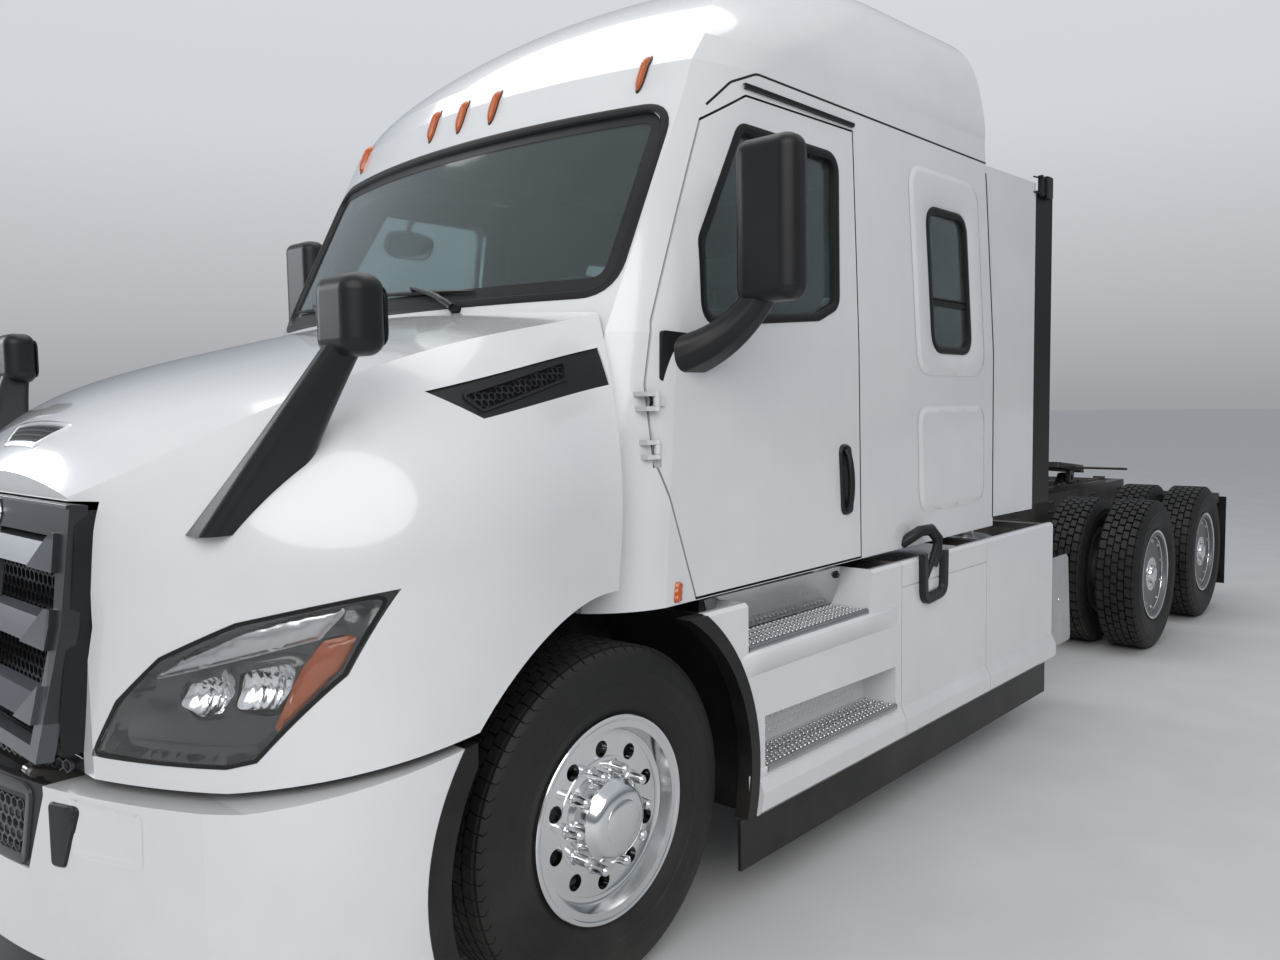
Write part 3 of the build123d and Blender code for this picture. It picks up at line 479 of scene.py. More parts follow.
# Moves a closed 2-D path outward
def growOutline(path, amount):
    area = sum(a.x * b.y - b.x * a.y for before, a, b in neighbours(path))
    reach = amount if area > 0 else -amount
    grown = []
    for before, point, after in neighbours(path):
        along = (after - before).normalized()
        grown.append(point + Vector((along.y, -along.x)) * reach)
    return grown


def insetSpots(path, *insets):
    return [spot for inset in insets for spot in growOutline(path, -inset)]


def mirrored(points, side):
    return [Vector((side * x, z)) for x, z in points]


def straight(x, y, dx, dy, count):
    return [Vector((x + dx * step, y + dy * step)) for step in range(count)]


# Search over the CAD nodes' faces with rays that start at place(point)
def caster(names, place, ray):
    verts, faces = [], []
    for name in names:
        mesh = nodes[name].data
        start = len(verts)
        verts.extend(vert.co.copy() for vert in mesh.vertices)
        faces.extend(tuple(start + index for index in face.vertices) for face in mesh.polygons)
    tree = BVHTree.FromPolygons(verts, faces)
    return lambda point: tree.ray_cast(Vector(place(*point)), Vector(ray))[:2]


# Each gives the skin's point and normal: at (y, z) from a side, (x, z) from the front or back, (x, y) from above
def castSide(side, *names):
    return caster(names, lambda y, z: (side * 3, y - axleShift, z), (-side, 0, 0))


def castFront(*names):
    return caster(names, lambda x, z: (x, -8, z), (0, 1, 0))


def castBack(*names):
    return caster(names, lambda x, z: (x, 6, z), (0, -1, 0))


def castTop(*names):
    return caster(names, lambda x, y: (x, y - axleShift, 6), (0, 0, -1))


# Hits and outward normals along the path; a miss takes the last hit
def drape(find, path):
    hits = []
    for point in path:
        hit, normal = find(point)
        if hit is not None:
            hits.append((hit, normal))
        elif hits:
            hits.append(hits[-1])
    return hits


def ridge(wide, low, narrow, high):
    return (wide, low), (narrow, high), (-narrow, high), (-wide, low)


# Sweeps a profile of (outward, off the skin) points along draped hits
def sweepBand(parts, hits, profile, closed=True, flip=1):
    rings = []
    for (before, _), (hit, normal), (after, _) in neighbours(hits, closed):
        along = after - before
        if along.length >= 1e-6:
            side = along.normalized().cross(normal).normalized() * flip
            rings.append([hit + side * u + normal * v for u, v in profile])
    return parts.strips(rings, closedRing=False, closedPath=closed)


def openBand(parts, find, path, profile):
    return sweepBand(parts, drape(find, path), profile, False)


# A closed band of constant section round an outline on the skin
def bandPiece(name, find, outline, radius, grow, profile, material, body, spacing):
    hits = drape(find, growOutline(roundOutline(outline, radius, spacing), grow))
    centre = sum((hit for hit, normal in hits), Vector()) / len(hits)
    hit, normal = hits[0]
    side = (hits[1][0] - hits[-1][0]).cross(normal)
    flip = 1 if side.dot(hit - centre) > 0 else -1
    sweepBand(MeshParts(), hits, profile, True, flip).piece(name, material, 40, body)


def insidePath(point, path):
    inside = False
    for before, a, b in neighbours(path):
        if (a.y > point.y) != (b.y > point.y) and point.x < (b.x - a.x) * (point.y - a.y) / (b.y - a.y) + a.x:
            inside = not inside
    return inside


def edgeDistance(point, path):
    best = math.inf
    for before, a, b in neighbours(path):
        run = b - a
        t = max(0, min(1, (point - a).dot(run) / max(run.length_squared, 1e-12)))
        best = min(best, (a + run * t - point).length)
    return best


def easeStep(value, start, end):
    t = max(0, min(1, (value - start) / (end - start)))
    return t * t * (3 - 2 * t)


# Lays a sheet on the skin; extra points and holes make soft steps that follow an edge
def layPatch(parts, find, outline, height, step, extra=(), holes=()):
    coords, edges = [], []
    for loop in (outline, *holes):
        start, count = len(coords), len(loop)
        coords.extend(loop)
        edges.extend((start + index, start + (index + 1) % count) for index in range(count))

    def within(spot):
        return insidePath(spot, outline) and not any(insidePath(spot, hole) for hole in holes)

    xs, ys = [point.x for point in outline], [point.y for point in outline]
    grid = [Vector((min(xs) + column * step, min(ys) + row * step))
            for row in range(int((max(ys) - min(ys)) / step) + 1)
            for column in range(int((max(xs) - min(xs)) / step) + 1)]
    coords.extend(spot for spot in [*extra, *grid] if within(spot))
    verts, doneEdges, faces, *rest = delaunay_2d_cdt(coords, edges, [], 0, 1e-5)
    places = [hit + normal * (height(vert) if callable(height) else height)
              for vert, (hit, normal) in zip(verts, drape(find, verts))]
    kept = [face for face in faces if within(sum((verts[index] for index in face), Vector((0, 0))) / len(face))]
    return parts.add(places, kept)


# A sheet whose edge eases over width from base up by rise
def raisedPatch(find, edge, base, rise, width, step, *insets):
    return layPatch(MeshParts(), find, edge, lambda point: base + rise * easeStep(edgeDistance(point, edge), 0, width),
                    step, insetSpots(edge, *insets))


# Tyres: a smooth wall section joined to a grid of tread

steerX, driveX, twinOffset = 1.035, 0.905, 0.1715
treadHalf, treadStart, shoulderLug, shoulderEdge = 0.12, 0.48, 0.483, 0.4905
wallSection = [(0.1, 0.29), (0.108, 0.302), (0.121, 0.318), (0.131, 0.342), (0.1335, 0.352), (0.1355, 0.354),
               (0.1352, 0.385), (0.1365, 0.388), (0.1352, 0.392), (0.1345, 0.42), (0.1358, 0.423), (0.134, 0.428),
               (0.1275, 0.455), (0.1215, 0.47), (0.115, shoulderLug), (0.106, shoulderEdge)]


# slot is the share of a pitch that is cut, slant its lean across a rib
def buildTyre(parts, centreX, centreY, ribs, pitches, groove, slot, slant):
    crown = axleHeight
    columns = [(offset, radius, 0) for offset, radius in wallSection]
    for index, (low, high) in enumerate(ribs):
        phase = 0.5 * (index % 2)
        columns += [(low, crown - groove, 0), (low, crown, phase), (high, crown, phase), (high, crown - groove, 0)]
    columns += [(-offset, radius, 0) for offset, radius in reversed(wallSection)]
    rings = []
    for pitch in range(pitches):
        for station, cut in ((0, False), (slot * 0.12, True), (slot * 0.88, True), (slot, False)):
            ring = []
            for offset, radius, phase in columns:
                lean = slant * offset / treadHalf if radius > treadStart else 0
                angle = 2 * math.pi * (pitch + station + phase + lean) / pitches
                reach = radius
                if cut and radius == crown:
                    reach -= groove * 0.8
                elif cut and radius in (shoulderLug, shoulderEdge):
                    reach -= 0.008
                ring.append((centreX + offset, centreY + reach * math.cos(angle), axleHeight + reach * math.sin(angle)))
            rings.append(ring)
    return parts.strips(rings, closedRing=False, closedPath=True)


twinInner, twinOuter = driveX - twinOffset, driveX + twinOffset
steerTyre = {"ribs": ((0.098, 0.062), (0.052, 0.022), (0.012, -0.012), (-0.022, -0.052), (-0.062, -0.098)),
             "pitches": 72, "groove": 0.014, "slot": 0.1, "slant": 0.4}
driveTyres = {"ribs": ((0.103, 0.066), (0.058, 0.025), (0.018, -0.018), (-0.025, -0.058), (-0.066, -0.103)),
              "pitches": 46, "groove": 0.018, "slot": 0.26, "slant": 0.35}
for hand, side in bothSides:
    tyre = buildTyre(MeshParts(), side * steerX, -axleShift, **steerTyre)
    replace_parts(tyre.piece("steerTyre_" + hand, "tyre_rubber", 28, "front_wheel_" + hand), "front_tyre_" + hand)
    for number, rowY in driveAxles:
        tag = f"{number}_{hand}"
        twins = MeshParts()
        for x in (twinOuter, twinInner):
            buildTyre(twins, side * x, rowY - axleShift, **driveTyres)
        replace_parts(twins.piece("driveTyres_" + tag, "tyre_rubber", 28, "drive_wheel_" + tag), "drive_tyres_" + tag)


# A tall pressed cover: flared skirt, six flats and a domed end
def wheelNut(parts, side, faceX, y, z, reach, radius):
    parts.strips([[(side * (faceX + out), y + radius * share * flat * c, z + radius * share * flat * s)
                   for step, (c, s) in enumerate(circle(24))
                   for flat in [1 - flats * 0.1 * (0.5 + 0.5 * math.cos(2 * math.pi * step / 24 * 6))]]
                  for out, share, flats in (
        (0, 1.28, 0), (0.006, 1.22, 0), (0.01, 1.02, 0), (0.014, 1, 1), (reach * 0.55, 0.97, 1),
        (reach * 0.62, 0.9, 0.3), (reach * 0.9, 0.8, 0), (reach, 0.5, 0), (reach + 0.002, 0.02, 0))])


def wheelTurn(parts, side, shift, profile, centre, sides):
    return parts.lathe([(side * (shift + x), radius) for x, radius in profile], centre, sides)


wheelNuts = {"count": 10, "circle": 0.1429, "faceX": 1.1105, "reach": 0.06, "radius": 0.0175}
hubProfile = (
    (1.1105, 0.172), (1.1135, 0.172), (1.1145, 0.168), (1.115, 0.122), (1.122, 0.1195), (1.15, 0.1165),
    (1.153, 0.1185), (1.158, 0.1185), (1.161, 0.1145), (1.176, 0.104), (1.184, 0.096), (1.1895, 0.084),
    (1.1915, 0.07), (1.1925, 0.066), (1.1945, 0.066), (1.1965, 0.062), (1.2, 0.035), (1.2005, 0))
flangeProfile = (
    (1.139, 0.2865), (1.148, 0.2985), (1.1535, 0.2985), (1.156, 0.2955), (1.1565, 0.29), (1.1545, 0.284),
    (1.15, 0.2785), (1.144, 0.27), (1.138, 0.264), (1.12, 0.254), (1.1135, 0.244), (1.1118, 0.236), (1.1116, 0.23))
for hand, side in bothSides:
    body = "front_wheel_" + hand
    nuts = MeshParts()
    for c, s in circle(wheelNuts["count"]):
        wheelNut(nuts, side, wheelNuts["faceX"], wheelNuts["circle"] * c - axleShift,
                 axleHeight + wheelNuts["circle"] * s, wheelNuts["reach"], wheelNuts["radius"])
    nuts.piece("wheelNuts_" + hand, "bright_metal", 30, body)
    centre = (-axleShift, axleHeight)
    wheelTurn(MeshParts(), side, 0, hubProfile, centre, 72).piece("hubCap_" + hand, "bright_metal", 24, body)
    wheelTurn(MeshParts(), side, 0, flangeProfile, centre, 96).piece("rimFlange_" + hand, "bright_metal", 30, body)
    for number, rowY in driveAxles:
        tag = f"{number}_{hand}"
        centre = (rowY - axleShift, axleHeight)
        ring = MeshParts()
        for profile in (
                ((0.0915, 0.2485), (0.095, 0.25), (0.0965, 0.2535), (0.0955, 0.2575), (0.09, 0.2605), (0.078, 0.264)),
                ((0.103, 0.2865), (0.115, 0.2985), (0.1205, 0.298), (0.122, 0.293), (0.1205, 0.286), (0.112, 0.276),
                 (0.09, 0.268))):
            wheelTurn(ring, side, twinOuter, profile, centre, 96)
        ring.piece("coverRing_" + tag, "bright_metal", 30, "drive_wheel_" + tag)
        studs = MeshParts()
        for count, radius, size in ((10, 0.222, 0.0085), (8, 0.085, 0.0095)):
            for c, s in circle(count, 0.5):
                wheelTurn(studs, side, twinOuter, (
                    (0.0915, size * 1.7), (0.0935, size * 1.7), (0.0945, size), (0.0995, size * 0.96),
                    (0.1005, size * 0.8), (0.1008, 0)), (centre[0] + radius * c, centre[1] + radius * s), 6)
        wheelTurn(studs, side, twinOuter, (
            (0.0915, 0.113), (0.0945, 0.111), (0.095, 0.106), (0.0945, 0.065), (0.108, 0.061), (0.115, 0.052),
            (0.1175, 0.04), (0.118, 0)), centre, 64)
        studs.piece("coverStuds_" + tag, "bright_metal", 30, "drive_wheel_" + tag)
print("stage: wheels")


# Cab: rubber round the glass, seams and pressed panels

doorOutline = ((0.4, 1.08), (0.305, 1.4), (0.258, 1.52), (0.256, 1.74), (0.3, 1.93), (0.61, 2.6), (0.83, 2.715),
               (1.515, 2.725), (1.44, 1.08))
doorGlass = ((0.535, 1.95), (0.545, 2.2), (0.79, 2.6), (1.38, 2.6), (1.33, 2.05), (1.2, 2))
sleeperGlass = ((2.12, 1.908), (2.12, 2.505), (2.475, 2.505), (2.475, 1.908))
windshieldGlass = ((-0.962, 2.03), (-0.948, 2.64), (0.948, 2.64), (0.962, 2.03))
roofEdge = ((0.64, 2.656), (0.76, 2.752), (0.9, 2.808), (2.745, 2.808))
rubberBand = ((0.013, -0.001), (0.012, 0.003), (0.006, 0.005), (-0.014, 0.0045), (-0.019, 0.001), (-0.021, -0.02))
glassFront = castFront("cab_shell", "roof_cap", "windshield")

bandPiece("windshieldRubber", glassFront, windshieldGlass, 0.095, 0.012,
          ((0.012, -0.001), (0.011, 0.003), (0.002, 0.005), (-0.014, 0.004), (-0.018, 0), (-0.02, -0.013)),
          "black_rubber", "chassis", 0.04)
bandPiece("windshieldFrit", castFront("windshield"), windshieldGlass, 0.095, -0.022,
          ((0.024, 0.0012), (-0.024, 0.0012)), "black_plastic", "chassis", 0.04)

bunkPanels = {"rise": 0.007, "lift": 0.0015, "edge": (0.002, 0.03), "holeEdge": (0.002, 0.04), "step": 0.06}
doorPull = {"rise": 0.01, "sink": 0.007, "lift": 0.0006, "barRadius": 0.013, "barOut": 0.008, "barArch": 0.02}
for hand, side in bothSides:
    door = "door_" + hand
    doorFind = castSide(side, door)
    cabFind = castSide(side, "cab_shell", "roof_cap")
    bandPiece("doorGlassRubber_" + hand, doorFind, doorGlass, 0.055, 0.01, rubberBand, "black_rubber", door, 0.04)
    bandPiece("sleeperRubber_" + hand, cabFind, sleeperGlass, 0.075, 0.01, rubberBand, "black_rubber", "chassis", 0.04)
    bar = MeshParts()
    for z, profile in ((2.107, ridge(0.013, 0, 0.011, 0.006)), (2.126, ridge(0.004, 0, 0.003, 0.01))):
        openBand(bar, castSide(side, "sleeper_windows"), straight(2.125, z, 0.0345, 0, 11), profile)
    bar.piece("sleeperBar_" + hand, "black_rubber", 40)
    bandPiece("doorSeal_" + hand, doorFind, doorOutline, 0, -0.004,
              ((0.0045, -0.014), (0.0105, -0.0145), (0.011, -0.03), (0.0045, -0.03)), "black_rubber", door, 0.05)
    seam = MeshParts()
    openBand(seam, cabFind, roundOutline(roofEdge, 0.09, 0.035, closed=False), ridge(0.0042, 0.0006, 0.003, 0.0016))
    openBand(seam, cabFind, straight(2.7415, 1.11, 0, 0.05, 34), ridge(0.0045, 0.0006, 0.003, 0.0022))
    seam.piece("roofSeam_" + hand, "black_rubber")

    # Pressed panels on the bunk side: a plateau with a soft step
    upper = roundOutline(((1.955, 1.79), (1.955, 2.69), (2.64, 2.69), (2.64, 1.79)), 0.12, 0.05)
    lower = roundOutline(((1.955, 1.2), (1.955, 1.66), (2.64, 1.66), (2.64, 1.2)), 0.09, 0.05)
    hole = growOutline(roundOutline(sleeperGlass, 0.075, 0.04), 0.03)
    panels = MeshParts()
    for edge, holes in ((upper, (hole,)), (lower, ())):
        def plateau(point):
            rise = bunkPanels["rise"] * easeStep(edgeDistance(point, edge), *bunkPanels["edge"])
            soft = easeStep(edgeDistance(point, hole), *bunkPanels["holeEdge"]) if holes else 1
            return rise * soft + bunkPanels["lift"]
        layPatch(panels, cabFind, edge, plateau, bunkPanels["step"],
                 insetSpots(edge, 0.006, 0.012, 0.018, 0.024, 0.03, 0.036), holes)
    panels.piece("bunkPanels_" + hand, "white_paint", 60)

    # Door pull: a black oval tray with a bar across it
    tray = roundOutline(((1.302, 1.25), (1.302, 1.52), (1.386, 1.52), (1.386, 1.25)), 0.036, 0.02)
    def trayHeight(point):
        away = edgeDistance(point, tray)
        return (doorPull["rise"] * easeStep(away, 0, 0.006) - doorPull["sink"] * easeStep(away, 0.012, 0.02)
                + doorPull["lift"])
    grip = layPatch(MeshParts(), doorFind, tray, trayHeight, 0.03, insetSpots(tray, 0.003, 0.006, 0.012, 0.016, 0.02))
    grip.tube([hit + normal * (doorPull["barOut"] + doorPull["barArch"] * math.sin(math.pi * index / 12) ** 0.5)
               for index, (hit, normal) in enumerate(drape(doorFind, straight(1.342, 1.275, 0, 0.0185, 13)))],
              doorPull["barRadius"], 12)
    hit, normal = doorFind((1.344, 1.294))
    grip.tube([hit, hit + normal * 0.009], doorPull["barRadius"], 16)
    grip.piece("doorPull_" + hand, "black_plastic", 30, door)

    # Rain rail over the door
    openBand(MeshParts(), cabFind, straight(0.82, 2.752, 0.05, 0, 15),
             ((0.01, 0), (0.009, 0.012), (-0.004, 0.014), (-0.006, 0.004), (-0.006, 0))
             ).piece("rainRail_" + hand, "black_rubber")
print("stage: cab")


# Headlamps: bezel, fluted bowls, a silver blade and the amber corner behind the clear lens

lampOutline = ((0.552, 0.868), (0.64, 1.01), (0.76, 1.12), (0.93, 1.205), (1.165, 1.268), (1.105, 1.08),
               (0.96, 0.885), (0.9, 0.868))
innerBowl = ((0.79, 1.005), (0.805, 1.05), (0.885, 1.08), (0.915, 1.045), (0.88, 0.985), (0.83, 0.975))
outerBowl = ((0.925, 1.086), (1.03, 1.108), (1.018, 1.047), (0.985, 0.99), (0.912, 1))
silverBlade = ((0.7, 1.052), (0.79, 1.116), (0.935, 1.186), (1.045, 1.222), (1.112, 1.232), (1.066, 1.158),
               (0.946, 1.12), (0.82, 1.084))
amberCorner = ((1.071, 1.155), (1.128, 1.172), (1.1, 1.085), (0.965, 0.898), (0.985, 0.95), (1.01, 1.024),
               (1.036, 1.092))
lampBezel = {"set": 0.0095, "slope": 0.03, "wave": 0.004, "waves": 60, "lip": 0.01}
lampBowls = {"set": 0.026, "depth": 0.055, "flute": 0.0022, "flutes": 420}
lampFind = castFront("headlamp_lenses")
for hand, side in bothSides:
    lampEdge = roundOutline(mirrored(lampOutline, side), 0.025, 0.03)
    windows = [roundOutline(mirrored(shape, side), 0.018, 0.015) for shape in (innerBowl, outerBowl)]

    def bezelHeight(point):
        near = min(edgeDistance(point, window) for window in windows)
        wave = lampBezel["wave"] * math.sin(point.y * lampBezel["waves"]) * easeStep(near, 0, 0.03)
        lip = lampBezel["lip"] * (1 - easeStep(near, 0, 0.014))
        fall = lampBezel["slope"] * easeStep(edgeDistance(point, lampEdge), 0.002, 0.03)
        return -lampBezel["set"] - fall + wave + lip

    rims = insetSpots(lampEdge, 0.008, 0.016, 0.024, 0.032)
    for window in windows:
        rims += insetSpots(window, -0.005, -0.01, -0.016)
    bezel = layPatch(MeshParts(), lampFind, growOutline(lampEdge, -0.0015), bezelHeight, 0.022, rims, windows)
    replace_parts(bezel.piece("lampBezel_" + hand, "lamp_housing", 28, "hood"), "headlamps")
    bowls = MeshParts()
    for window in windows:
        centre = sum(window, Vector((0, 0))) / len(window)
        size = max((spot - centre).length for spot in window)
        def bowlHeight(point):
            fade = easeStep(edgeDistance(point, window), 0.003, 0.01)
            flute = lampBowls["flute"] * math.sin((point.x * side - point.y * 0.2) * lampBowls["flutes"]) * fade
            return -lampBowls["set"] - lampBowls["depth"] * (1 - min(1, (point - centre).length / size) ** 2) - flute
        layPatch(bowls, lampFind, window, bowlHeight, 0.0045, insetSpots(window, 0.003))
    bowls.piece("lampBowls_" + hand, "bright_metal", 50, "hood")
    for name, shape, radius, base, rise, width, insets, material in (
            ("lampBlade_", silverBlade, 0.012, -0.03, 0.01, 0.014, (0.004, 0.008, 0.013), "tank_metal"),
            ("lampAmber_", amberCorner, 0.008, -0.029, 0.016, 0.012, (0.004, 0.008, 0.012), "amber_lens")):
        edge = roundOutline(mirrored(shape, side), radius, 0.02)
        raisedPatch(lampFind, edge, base, rise, width, 0.02, *insets).piece(name + hand, material, 40, "hood")
    bandPiece("lampGasket_" + hand, lampFind, mirrored(lampOutline, side), 0.025, -0.005,
              ((0.005, -0.0005), (0.0045, 0.0022), (-0.0035, 0.002), (-0.005, 0)), "black_rubber", "hood", 0.02)


# Screens of six-sided cells; each cell has a rim and walls down to the panel

def honeycomb(parts, find, outline, pitch, wall, depth, foot):
    xs, ys = [point.x for point in outline], [point.y for point in outline]
    rowStep = pitch * math.sqrt(3) / 2
    outer, inner = pitch / math.sqrt(3), (pitch - wall) / math.sqrt(3)
    for row in range(int((max(ys) - min(ys)) / rowStep) + 1):
        for column in range(int((max(xs) - min(xs)) / pitch) + 2):
            middle = Vector((min(xs) + (column + 0.5 * (row % 2)) * pitch, min(ys) + row * rowStep))
            if not insidePath(middle, outline) or edgeDistance(middle, outline) < pitch * 0.42:
                continue
            rings = []
            for radius, rise in ((outer, depth), (inner, depth), (inner * 0.94, foot)):
                angles = [math.pi / 6 + step * math.pi / 3 for step in range(6)]
                hits = [find(middle + Vector((math.cos(angle), math.sin(angle))) * radius) for angle in angles]
                if all(hit for hit, normal in hits):
                    rings.append([hit + normal * rise for hit, normal in hits])
            if len(rings) == 3:
                parts.strips(rings)
    return parts


# A smooth upright sheet just off the bumper's nose, for screens that bridge its slots
def noseSheet(shift, noseHeight=0.768, noseDepth=-1.27):
    noseFind = castFront("bumper_grille", "bumper")
    def find(point):
        hit, normal = noseFind((point[0], noseHeight))
        depth = hit.y if hit else noseDepth - axleShift
        return Vector((point[0], depth + shift, point[1])), Vector((0, -1, 0))
    return find


bumperScreen = {"pitch": 0.031, "wall": 0.007, "depth": 0, "foot": -0.012}
grilleFoot = {"pitch": 0.031, "wall": 0.007, "depth": 0, "foot": -0.01}
ventScreen = {"pitch": 0.021, "wall": 0.005, "depth": 0.003, "foot": 0.0008}
grilleMesh = {"pitch": 0.034, "wall": 0.007, "depth": 0.003, "foot": -0.006}
intakeMesh = {"pitch": 0.016, "wall": 0.004, "depth": 0.0034, "foot": 0.0018}
screen = honeycomb(MeshParts(), noseSheet(-0.002), roundOutline(
    ((-0.352, 0.752), (0.352, 0.752), (0.318, 0.58), (-0.318, 0.58)), 0.02, 0.05), **bumperScreen)
screenRim = roundOutline(((-0.372, 0.768), (0.372, 0.768), (0.326, 0.57), (-0.326, 0.57)), 0.03, 0.03)
sweepBand(screen, drape(noseSheet(0), screenRim),
          ((0.02, -0.001), (0.019, 0.006), (0.004, 0.008), (-0.006, 0.006), (-0.008, -0.006)))
screen.piece("bumperScreen", "grille_plastic", 30)
footEdge = [Vector(spot) for spot in ((-0.5, 0.806), (0.5, 0.806), (0.5, 0.872), (-0.5, 0.872))]
foot = honeycomb(MeshParts(), noseSheet(0.03), footEdge, **grilleFoot)
foot.piece("grilleFoot", "grille_plastic", 30, "hood")
# Painted shade: a near-black, matte material for a sheet that stands in for the shade deep in each vent's opening
ventPaintedShade = surface("ventPaintedShade", (0.0025, 0.0025, 0.003), (0.004, 0.004, 0.0045), (0.85, 0.95), 0,
                    (900, 0.05, 0.0004), 0, 0.6, shine(0.12))
ventHole = roundOutline(((-0.44, 1.708), (-0.02, 1.805), (-0.045, 1.752), (-0.392, 1.668)), 0.012, 0.03)
for hand, side in bothSides:
    ventFind = castSide(side, "hood_trim")
    vent = honeycomb(MeshParts(), ventFind, ventHole, **ventScreen)
    sweepBand(vent, drape(ventFind, ventHole), ((0.006, 0), (0.004, 0.0055), (-0.003, 0.0055), (-0.005, 0)))
    vent.piece("ventScreen_" + hand, "black_plastic", 30, "hood")
    # Painted shade: the dark sheet that fills the vent behind its screen
    shade = layPatch(MeshParts(), ventFind, growOutline(ventHole, -0.002), 0.0012, 0.012)
    shade.piece("ventPaintedShade_" + hand, "black_plastic", 40, "hood").data.materials[0] = ventPaintedShade

# Grille: bright line over the surround and a blank oval plate at its top
grilleFind = castFront("grille")
plateHalf = ((0.082, 1.395), (0.095, 1.425), (0.07, 1.458))
plateEdge = roundOutline(mirrored(plateHalf, -1) + mirrored(plateHalf[::-1], 1), 0.03, 0.02)
line = openBand(MeshParts(), grilleFind, straight(-0.555, 1.4625, 0.037, 0, 31), ridge(0.0045, 0, 0.0035, 0.0035))
sweepBand(line, drape(grilleFind, plateEdge), ((0.005, 0), (0.004, 0.007), (-0.003, 0.008), (-0.005, 0.003)))
line.piece("grilleBright", "bright_metal", 40, "hood")
layPatch(MeshParts(), grilleFind, plateEdge, 0.003, 0.03).piece("blankPlate", "lamp_housing", 40, "hood")


# Dark mesh behind the slats
meshDepth = -1.112


def sheetFind(point):
    return at(point[0], meshDepth, point[1]), Vector((0, -1, 0))


sheetHalf = ((0.505, 0.89), (0.555, 1.05), (0.59, 1.22), (0.585, 1.32), (0.555, 1.415))
sheetEdge = mirrored(sheetHalf, 1) + mirrored(sheetHalf[::-1], -1)
mesh = honeycomb(MeshParts(), sheetFind, sheetEdge, **grilleMesh)
mesh.strips([[sheetFind(spot)[0] + Vector((0, depth, 0)) for spot in sheetEdge] for depth in (0.007, 0.01)], caps=True)
mesh.piece("grilleMesh", "black_plastic", 30, "hood")

# Dark returns from the grille's frame back to the hood, smoothed along their edges
hoodFront = castFront("hood")


def firstHit(find, side, z, start, step, count, limit):
    for x in (start + step * k for k in range(count)):
        hit = find((side * x, z))[0]
        if hit and hit.y < limit:
            return x, hit.y


returns = MeshParts()
for side in (1, -1):
    edges = []
    for z in (0.864 + 0.0245 * step for step in range(25)):
        inner = firstHit(grilleFind, side, z, 0.64, -0.0025, 80, 0)
        outer = inner and firstHit(hoodFront, side, z, inner[0], 0.0025, 60, -0.95 - axleShift)
        if outer:
            edges.append((z, *inner, *outer))
    levels = [edge[0] for edge in edges]
    smooth = []
    for column in range(1, 5):
        values = [sorted(edge[column] for edge in edges[max(0, k - 3):k + 4]) for k in range(len(edges))]
        smooth.append(np.polyval(np.polyfit(levels, [near[len(near) // 2] for near in values], 3), levels))
    returns.strips([[(side * (innerX - 0.01), innerY + 0.016, z), (side * (innerX + 0.002), innerY + 0.014, z),
                     (side * (outerX - 0.002), outerY + 0.01, z), (side * (outerX + 0.005), outerY + 0.012, z)]
                    for z, innerX, innerY, outerX, outerY in zip(levels, *smooth)], closedRing=False)
returns.piece("grilleReturns", "black_plastic", 40, "hood")

# Air intake in the hood's nose
topFind = castTop("hood")
intakeEdge = roundOutline(((-0.12, -1.105), (0.12, -1.105), (0.2, -1.045), (-0.2, -1.045)), 0.012, 0.02)
intake = sweepBand(MeshParts(), drape(topFind, intakeEdge),
                   ((0.013, 0), (0.008, 0.005), (-0.004, 0.0055), (-0.007, 0.001)))
intake.piece("intakeRim", "white_paint", 50, "hood")
intakeScreen = layPatch(MeshParts(), topFind, growOutline(intakeEdge, -0.003), 0.0016, 0.01)
honeycomb(intakeScreen, topFind, intakeEdge, **intakeMesh)
intakeScreen.piece("intakeScreen", "grille_plastic", 40, "hood")

# Clearance lamps: ribbed amber domes on a dark foot
roofFind = castFront("roof_cap", "cab_shell")
clearanceDomes = {"width": 0.015, "height": 0.0235, "low": 2.716, "high": 2.842, "ribs": 1}
clearanceFeet = {"width": 0.019, "height": 0.006, "low": 2.708, "high": 2.85, "ribs": 0}
domes, feet, steps = MeshParts(), MeshParts(), 44
for x in (-0.815, -0.181, 0, 0.181, 0.815):
    for parts, (width, height, low, high, ribs) in (
            (domes, clearanceDomes.values()), (feet, clearanceFeet.values())):
        rings = []
        for step, (hit, normal) in enumerate(drape(roofFind, straight(x, low, 0, (high - low) / steps, steps + 1))):
            swell = max(0.02, 1 - abs(2 * step / steps - 1) ** 3.2) ** 0.5
            rise = height * swell * (1 - 0.07 * ribs * (step % 3 == 0))
            rings.append([hit + Vector((width * swell * math.cos(math.pi * part / 12), 0, 0))
                          + normal * (rise * math.sin(math.pi * part / 12) ** 0.8 - 0.001) for part in range(13)])
        parts.strips(rings, closedRing=False)
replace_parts(domes.piece("clearanceDomes", "amber_lens", 24), "marker_lamps")
feet.piece("clearanceFeet", "black_plastic", 40)

# Look-down mirror over the right door's window
lookDownMirror = {"place": (-1.2, 1.04, 2.5), "tilt": 32, "halfLength": 0.135, "halfHeight": 0.068}
tilt = Matrix.Rotation(math.radians(lookDownMirror["tilt"]), 3, "Y")


def mirrorRing(grow, along):
    halves = lookDownMirror["halfLength"], lookDownMirror["halfHeight"]
    return [at(*lookDownMirror["place"]) + tilt @ Vector((
        along, *(half * grow * math.copysign(abs(part) ** 0.6, part) for half, part in zip(halves, spot))))
            for spot in circle(32)]


